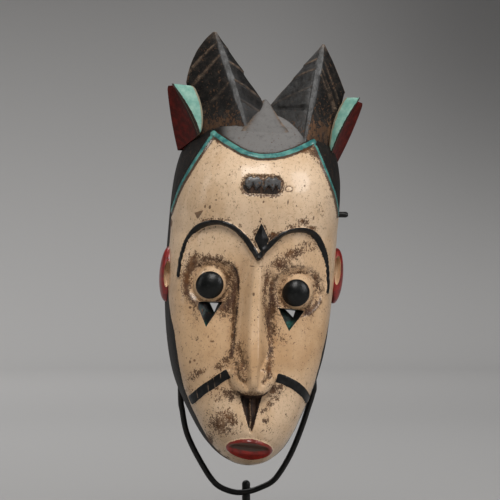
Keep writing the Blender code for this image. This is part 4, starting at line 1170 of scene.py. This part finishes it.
def make_pod(name, side, top, bottom):
    """Four edges swell between bottom and top; the scoop dips by a parabola between middle and outer."""
    levels = 40
    share = np.linspace(0, 1, levels)[:, None]
    swell = 4 * share * (1 - share)
    bulges = ((-3.2, -1.0, 0), (-2.2, -1.0, 0), (1.2, 1.5, 0), (0, 2, 0))
    inner, middle, outer, back = (np.array(low) + (np.array(high) - np.array(low)) * share
                                  + swell * np.array(bulge) for high, low, bulge in zip(top, bottom, bulges))
    centre = (inner + middle + outer + back) / 4
    round_top = 0.10 * np.clip((share - 0.93) / 0.07, 0, 1) ** 2
    inner, middle, outer, back = (edge + (centre - edge) * round_top for edge in (inner, middle, outer, back))
    ring, front_mm, seam_mm = [], [], []
    for t in np.linspace(0, 1, 10)[:-1]:
        full = 4 * t * (1 - t) * 0.9 * swell
        ring.append(inner + (middle - inner) * t + full * np.array((0, -1, 0)))
        wide = np.linalg.norm(middle - inner, axis=1)
        front_mm.append(wide * (1 - t))
        seam_mm.append(wide * t)
    for t in np.linspace(0, 1, 15)[:-1]:
        dip = 4 * t * (1 - t) * (1.2 + 3.2 * share)
        ring.append(middle + (outer - middle) * t + dip * np.array((-0.72, 0.69, 0)))
        front_mm.append(-np.linalg.norm(outer - middle, axis=1) * t)
        seam_mm.append(np.full(levels, 20.0))
    for start, end in ((outer, back), (back, inner)):
        for t in np.linspace(0, 1, 7)[:-1]:
            ring.append(start + (end - start) * t)
            front_mm.append(np.full(levels, -20.0))
            seam_mm.append(np.full(levels, 20.0))
    rows = np.stack(ring, axis=1)
    rows[:, :, 0] *= side
    wider = 1.0 + 0.8 * (side > 0)
    numbers = {"front_mm": np.stack(front_mm, axis=1).ravel() + wider,
               "seam_mm": np.stack(seam_mm, axis=1).ravel()}
    return loft(name, rows, pod_paint, numbers)


def make_ball(name, size, middle, material):
    """A closed ball stretched to three half sizes."""
    return loft(name, unit_ball(40, 28, 0.03) * np.array(size) + np.array(middle), material)


growths += [make_pod(name, *values) for name, values in PODS.items()]
for side, word, height in ((-1, "left", 155.0), (1, "right", 159.0)):
    ear_middle = (side * (70.6 + 0.9 * side), -20.0, height)
    growths.append(make_ball(f"{word}_ear", (7.0, 13.0, 23.5), ear_middle, ear_paint))
    cutters.append(make_ball(f"{word}_ear_hollow", (2.9, 9.0, 12.0 + 0.6 * side),
                             (side * (71.4 + 0.8 * side), -29.0, height + 2.2 * (side + 1)),
                             ear_hollow))
print("growths:", [made.name for made in growths])

# %% [markdown]
# ## Holes
# Under each eye a three-cornered hole goes right through. It is cut wide from the front and narrows in
# the thickness of the wood, so only a small light opening shows. Two small holes take the pegs.

# %% Eye holes and peg holes
EYE_HOLES = (
    (((-47.7, 133.6), (-26.0, 134.2), (-38.6, 113.2)), ((-35.6, 132.8), (-29.0, 132.6), (-31.5, 125.2))),
    (((19.6, 131.2), (42.4, 129.8), (29.6, 112.6)), ((27.4, 129.6), (35.6, 129.0), (34.0, 123.4))),
)


def make_eye_hole(name, wide, narrow):
    """Three-cornered sections, each side in twelve steps, wide in front and narrow behind."""
    wide, narrow = np.array(wide), np.array(narrow)
    middle = wide.mean(axis=0)
    t = np.linspace(0, 1, 12, endpoint=False)[:, None]
    rows = []
    wider = middle + (wide - middle) * 1.05
    for y, outline in ((-100, wider), (-70.5, wide), (-62.5, narrow), (-20, narrow)):
        sides = [outline[n] + (outline[(n + 1) % 3] - outline[n]) * t for n in range(3)]
        flat = np.concatenate(sides)
        rows.append(np.column_stack([flat[:, 0], np.full(len(flat), float(y)), flat[:, 1]]))
    return loft(name, np.array(rows), eye_hole)


def tube(path, radii, sides=24):
    """Rings of points round a path: across is the tangent crossed with y, up is across crossed with it."""
    tangent = np.gradient(path, axis=0)
    tangent /= np.linalg.norm(tangent, axis=1, keepdims=True)
    across = np.cross(tangent, (0, 1, 0))
    across /= np.linalg.norm(across, axis=1, keepdims=True)
    up = np.cross(across, tangent)
    turn = full_turn(sides)[None, :, None]
    circle = np.cos(turn) * across[:, None] + np.sin(turn) * up[:, None]
    return path[:, None] + radii[:, None, None] * circle


def wood_side(side):
    """Where the outside of the wood is at the height of the pegs, in metres."""
    return hang(np.array((side * HALF_WIDTH, -PEG_INSET, PEG_HEIGHT)))


for side, word, hole in zip((-1, 1), ("left", "right"), EYE_HOLES):
    cutters.append(make_eye_hole(f"{word}_eye_hole", *hole))
    ends = wood_side(side) + side * np.array((-3 * WALL, 2 * WALL))[:, None] * np.array((1, 0, 0))
    bar = tube(ends, np.full(2, ROD / 2 + PEG_CLEARANCE))
    cutters.append(closed_tube(f"{word}_peg_hole", bar, bare_wood))
print("cutters:", [made.name for made in cutters])

# %% [markdown]
# ## One solid
# The Manifold Boolean joins and cuts closed meshes quickly and keeps each one's material and numbers.
# Points that it makes along the seams have no numbers yet, so they take the mean of their neighbours'.


# %% Join and cut
def combine(target, parts, operation):
    """Add or take away a list of closed meshes."""
    group = bpy.data.collections.new(operation.lower())
    bpy.context.scene.collection.children.link(group)
    for part in parts:
        bpy.context.scene.collection.objects.unlink(part)
        group.objects.link(part)
    step = target.modifiers.new(operation.lower(), "BOOLEAN")
    step.operation = operation
    step.operand_type = "COLLECTION"
    step.collection = group
    step.solver = "MANIFOLD"
    step.material_mode = "TRANSFER"
    return group


def settle_seams(mesh):
    """Give each point without numbers the mean of its worked neighbours, three times over."""
    ends = np.zeros(len(mesh.edges) * 2, np.int64)
    mesh.edges.foreach_get("vertices", ends)
    first, second = ends.reshape(-1, 2).T
    floats = [item.name for item in mesh.attributes if item.data_type == "FLOAT" and item.domain == "POINT"]
    values = {name: np.zeros(len(mesh.vertices), np.float32) for name in floats}
    for name in floats:
        mesh.attributes[name].data.foreach_get("value", values[name])
    known = values["worked"] > 0.5
    for _ in range(3):
        count = np.bincount(first, known[second], len(known)) + np.bincount(second, known[first], len(known))
        fresh = ~known & (count > 0)
        for name in floats:
            near = values[name] * known
            total = np.bincount(first, near[second], len(known))
            total = total + np.bincount(second, near[first], len(known))
            values[name][fresh] = (total[fresh] / count[fresh]).astype(np.float32)
        known = known | fresh
    for name in floats:
        mesh.attributes[name].data.foreach_set("value", values[name])


def work_solid(piece, *steps):
    """Take the Boolean steps, put the finished mesh in the piece, and remove the shapes that were used."""
    groups = [combine(piece, parts, operation) for parts, operation in steps]
    graph = bpy.context.evaluated_depsgraph_get()
    done = bpy.data.meshes.new_from_object(piece.evaluated_get(graph))
    done.name = piece.name
    piece.modifiers.clear()
    piece.data = done
    for group in groups:
        for part in list(group.objects):
            bpy.data.objects.remove(part, do_unlink=True)
        bpy.data.collections.remove(group)
    return done


wood_mesh = work_solid(mask, (growths, "UNION"), (cutters, "DIFFERENCE"))
settle_seams(wood_mesh)
shade(mask, 38)
wood_mesh.calc_loop_triangles()
print("mask triangles:", len(wood_mesh.loop_triangles), [slot.name for slot in wood_mesh.materials])

# %% [markdown]
# ## The stand
# The rod is round steel bent cold into a loop, with its two ends turned outwards into the wood. It is
# painted black, with a little rust and wear. A tube swept along the rod's route, with rounded ends and a
# slightly uneven thickness, looks hand-bent where a perfect cylinder would not.

# %% Material: black steel
steel, w, sockets = new_material("painted_steel", {"Specular IOR Level": 0.5})
patina = w.noise(w.place(), 320, 5, 0.65)
colour = w.mix(w.step(patina, 0.45, 0.72), (0.0065, 0.006, 0.0055, 1), (0.022, 0.017, 0.013, 1))
rust = worn(w, 0.10, 0.675, 1.4)
colour = w.mix(w.times(rust, 0.7), colour, (0.085, 0.040, 0.018, 1))
rough = w.plus(0.30, w.times(patina, 0.25))
rough = w.between(rust, rough, 0.75)
height = w.plus(w.times(patina, 0.25), w.times(w.noise(w.place(), 1500, 2), 0.08))
w.feed(sockets["Metallic"], w.times(w.minus(1.0, rust), 0.35))
finish_surface(w, sockets, colour, rough, height, 0.6, distance=0.0006)
print("material:", steel.name)

# %% Cradle rod
LOOP_PLACES = ((-56.4, 83.7), (-55.0, 69.7), (-51.8, 52.9), (-46.3, 39.3), (-39.0, 25.6), (-30.5, 12.0),
               (-22.6, 4.5), (-10, 0), (2, 0.6), (13, 4.3), (22.4, 9.3), (30.0, 18.8), (37.8, 32.4),
               (43.8, 46.1), (48.9, 59.8), (52.6, 71.2), (56.4, 83.1), (57.6, 94.0))


def cradle_route():
    """From the left peg down inside the mask, round under the chin, and up to the right peg."""
    lowest = CHIN_HEIGHT - LOOP_DROP
    free = [(x * UNIT[0], LOOP_PLANE, lowest + z * UNIT[2]) for x, z in LOOP_PLACES]
    behind = (LOOP_PLANE - RIM_PLANE) / UNIT[1]
    inner = HALF_WIDTH - (WALL + ROD / 2) / UNIT[0]
    upper = ((3.0, behind, 112), (6.0, 0, 140), (7.8, -7, 172), (8.4, -9.6, 192), (7.8, -PEG_INSET, 201),
             (6.2, -PEG_INSET, 206.4), (3.4, -PEG_INSET, 209.6))
    arms = []
    for side in (-1, 1):
        run = [tuple(hang(np.array((side * (inner - away), y, z)))) for away, y, z in upper]
        peg = wood_side(side)
        run.append(tuple(peg - np.array((side * 0.75 * WALL, 0, 0))))
        run.append(tuple(peg + np.array((side * (PEG_REACH if side > 0 else -0.25 * WALL), 0, 0))))
        arms.append(run)
    left, right = arms
    return [*reversed(left), *free, *right]


def even_points(path, step):
    """The same curve with its points an even step apart, read off by length."""
    lengths = np.concatenate([[0], np.cumsum(np.linalg.norm(np.diff(path, axis=0), axis=1))])
    places = np.linspace(0, lengths[-1], int(lengths[-1] / step) + 1)
    return np.stack([np.interp(places, lengths, path[:, axis]) for axis in range(3)], axis=-1), places


route, route_length = even_points(smooth_path(cradle_route(), 24), 0.0016)
from_end = np.minimum(route_length, route_length[-1] - route_length)
rounded = np.sqrt(1 - (1 - np.clip((from_end + 0.00005) / 0.0012, 0, 1)) ** 2)
radii = (ROD / 2 - 0.00004) * (0.45 + 0.55 * rounded) * (1 + 0.008 * wander(route, 0.012, 41))
rod = closed_tube("bent_rod", tube(route, np.minimum(radii, ROD / 2)), steel)
shade(rod, 50)
print("rod length, mm:", round(1000 * route_length[-1]))

# %% [markdown]
# ## Post and plate
# The post is a turned bar with a rounded top, brazed to the back of the loop: two small beads show beside
# the crossing. It stands in a fillet of weld on a flat plate with eased edges and round corners.


# %% Post with its beads
def turned(profile, centre, sides=48):
    """Rings round an upright axis through centre, one for each (radius, height) of the profile."""
    profile = np.asarray(profile, float)
    turn = full_turn(sides)[None, :]
    radius, height = profile[:, :1], profile[:, 1:]
    x, y = centre[0] + radius * np.cos(turn), centre[1] + radius * np.sin(turn)
    return np.stack([x, y, height + 0 * turn], axis=-1)


def make_post():
    """A bar with a quarter-round top and a concave fillet at the foot, both read from quarter circles."""
    half, low, top = POST / 2, PLATE_THICKNESS + GAP, CHIN_HEIGHT - LOOP_DROP + POST_RISE
    quarter = np.linspace(0, math.pi / 2, 14)
    fillet = 0.0022
    foot = np.stack([half + fillet * (1 - np.sin(quarter)), low + fillet * (1 - np.cos(quarter))], axis=-1)
    shaft = np.stack([np.full(16, half), np.linspace(low + fillet + 0.001, top - half - 0.0005, 16)], axis=-1)
    crown = np.stack([half * np.cos(quarter), top - half + half * np.sin(quarter)], axis=-1)
    crown[-1, 0] = 0.00012
    return closed_tube("turned_post", turned(np.vstack([foot, shaft, crown]), (0, POST_BACK)), steel)


def make_bead(name, middle, size, seed):
    """A lump of braze: a stretched ball whose radius wanders a little."""
    ball = unit_ball(28, 18, 0.05)
    ball = ball * (1 + 0.14 * wander(ball, 0.7, seed))[..., None]
    return closed_tube(name, ball * np.array(size) + np.array(middle), steel)


loop_low = CHIN_HEIGHT - LOOP_DROP
post = make_post()
BEADS = {
    # across, behind the loop, above its lowest place, half sizes, seed
    "bead_left": (-0.0021, 0.0026, -0.0002, (0.0020, 0.0016, 0.0021), 51),
    "bead_right": (0.0040, 0.0022, 0.0018, (0.0026, 0.0017, 0.0021), 52),
}
beads = [make_bead(name, (x, LOOP_PLANE + y, loop_low + z), size, seed)
         for name, (x, y, z, size, seed) in BEADS.items()]
work_solid(post, (beads, "UNION"))
shade(post, 40)
print("post points:", len(post.data.vertices))


# %% Base plate
def make_plate():
    """A rounded rectangle for each level: drawn in at top and bottom by an eased edge of 1.2 mm."""
    edge, corner = 0.0012, 0.003
    ease_in = edge * (1 - np.sin(np.linspace(0, math.pi / 2, 6)))
    drop = edge * (1 - np.cos(np.linspace(0, math.pi / 2, 6)))
    levels = np.concatenate([drop, PLATE_THICKNESS - drop[::-1]])
    insets = np.concatenate([ease_in, ease_in[::-1]])
    arc = np.linspace(0, math.pi / 2, 9)
    rows = []
    for level, inset in zip(levels, insets):
        half = np.array((PLATE_WIDTH / 2 - corner, PLATE_DEPTH / 2 - corner))
        outline = []
        for quarter, (sign_x, sign_y) in enumerate(((1, 1), (-1, 1), (-1, -1), (1, -1))):
            angle = arc + quarter * math.pi / 2
            reach = corner - inset
            outline.append(np.stack([sign_x * half[0] + reach * np.cos(angle),
                                     sign_y * half[1] + reach * np.sin(angle)], axis=-1))
        outline = np.vstack(outline)
        rows.append(np.column_stack([outline, np.full(len(outline), level)]))
    return closed_tube("foot_plate", np.array(rows), steel)


plate = make_plate()
shade(plate, 40)
print("plate points:", len(plate.data.vertices))

# %% [markdown]
# ## Giving the pieces to the frame
# The four pieces replace the four solids and ride on the model's one body.

# %% Ride and replace
for piece, node, slot_name in ((mask, "mask", "painted_wood"), (rod, "cradle_loop", "black_steel"),
                               (post, "post", "black_steel"), (plate, "base_plate", "black_steel")):
    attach(piece, "root")
    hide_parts(node)
    print("piece:", piece.name, "for", node)

# %% [markdown]
# ## Studio
# A round cove surrounds the object: a flat floor that curves up into a wall, so there is no horizon from
# any side. Its grey carries painted light and shade: lighter on the floor away from the middle, darker up
# the wall, and darker on the right, as studio lamps would light it.

# %% Cove and lights
COVE_RADIUS, COVE_BEND, COVE_HEIGHT = 3.4, 1.2, 4.2
COVE_SIDES = 96
bend = np.linspace(0, math.pi / 2, 24)
cove_profile = np.vstack([
    np.stack([np.linspace(0.01, COVE_RADIUS, 12), np.zeros(12)], axis=-1),
    np.stack([COVE_RADIUS + COVE_BEND * np.sin(bend[1:]), COVE_BEND * (1 - np.cos(bend[1:]))], axis=-1),
    np.stack([np.full(8, COVE_RADIUS + COVE_BEND), np.linspace(COVE_BEND + 0.1, COVE_HEIGHT, 8)], axis=-1)])
backdrop_paint, w, sockets = new_material("studio_grey", {"Roughness": 0.9, "Specular IOR Level": 0.1})
across, _, height = w.add("ShaderNodeSeparateXYZ", {0: w.place()}).outputs
from_middle = w.add("ShaderNodeVectorMath", {0: w.place((1, 1, 0))}, operation="LENGTH").outputs["Value"]
# Painted light and shade: the floor is lighter away from the middle, the wall darker upwards and to the
# right.
grey = w.mix(w.step(from_middle, 1.7, 3.5), (0.405, 0.402, 0.40, 1), (0.62, 0.615, 0.61, 1))
grey = w.mix(w.times(height, 0.58, clamp=True), grey, (0.02, 0.018, 0.018, 1))
right_wall_shade = w.plus(0.06, w.times(w.step(height, 0.0, 0.9), 0.5))
grey = w.mix(w.times(w.step(across, 0.35, 1.1), right_wall_shade), grey, (0.05, 0.05, 0.05, 1))
w.feed(sockets["Base Color"], grey)
rings = turned(cove_profile, (0, 0), COVE_SIDES)
faces = grid_faces(COVE_SIDES, len(cove_profile), closed=True).tolist() + [tuple(range(COVE_SIDES))]
cove = make_piece("studio_cove", rings.reshape(-1, 3), faces, backdrop_paint)
cove.data.flip_normals()
cove.data.shade_smooth()


def soft_light(name, place, towards, size, power, colour):
    """A rectangular lamp at a place, turned towards a point."""
    data = bpy.data.lights.new(name, "AREA")
    data.shape, data.size, data.size_y, data.energy, data.color = "RECTANGLE", *size, power, colour
    lamp = bpy.data.objects.new(name, data)
    lamp.location = place
    lamp.rotation_euler = (Vector(place) - Vector(towards)).to_track_quat("Z", "Y").to_euler()
    bpy.context.scene.collection.objects.link(lamp)


LIGHTS = {
    # place, towards, size, watts, colour
    "key": ((-0.06, -1.12, 1.36), (0, -0.02, 0.21), (0.8, 0.6), 18.6, (1.0, 0.97, 0.93)),
    "right_fill": ((1.25, -0.85, 0.85), (0, -0.02, 0.26), (0.5, 0.8), 9, (0.99, 0.99, 1.0)),
    "left_rim": ((-1.15, -0.15, 0.65), (0, 0, 0.26), (0.3, 0.8), 1.5, (1.0, 0.99, 0.97)),
    "backdrop_wash": ((-0.9, 1.1, 2.6), (-0.4, 4.0, 0.0), (2.2, 0.8), 80, (1.0, 0.99, 0.98)),
}
for name, values in LIGHTS.items():
    soft_light(name, *values)
world = bpy.data.worlds.new("studio")
bpy.context.scene.world = world
world.use_nodes = True
background = world.node_tree.nodes["Background"]
background.inputs["Color"].default_value = (0.95, 0.97, 1.0, 1)
background.inputs["Strength"].default_value = 0.12
bpy.context.scene.view_settings.view_transform = "Standard"
print("lights:", len(bpy.data.lights))
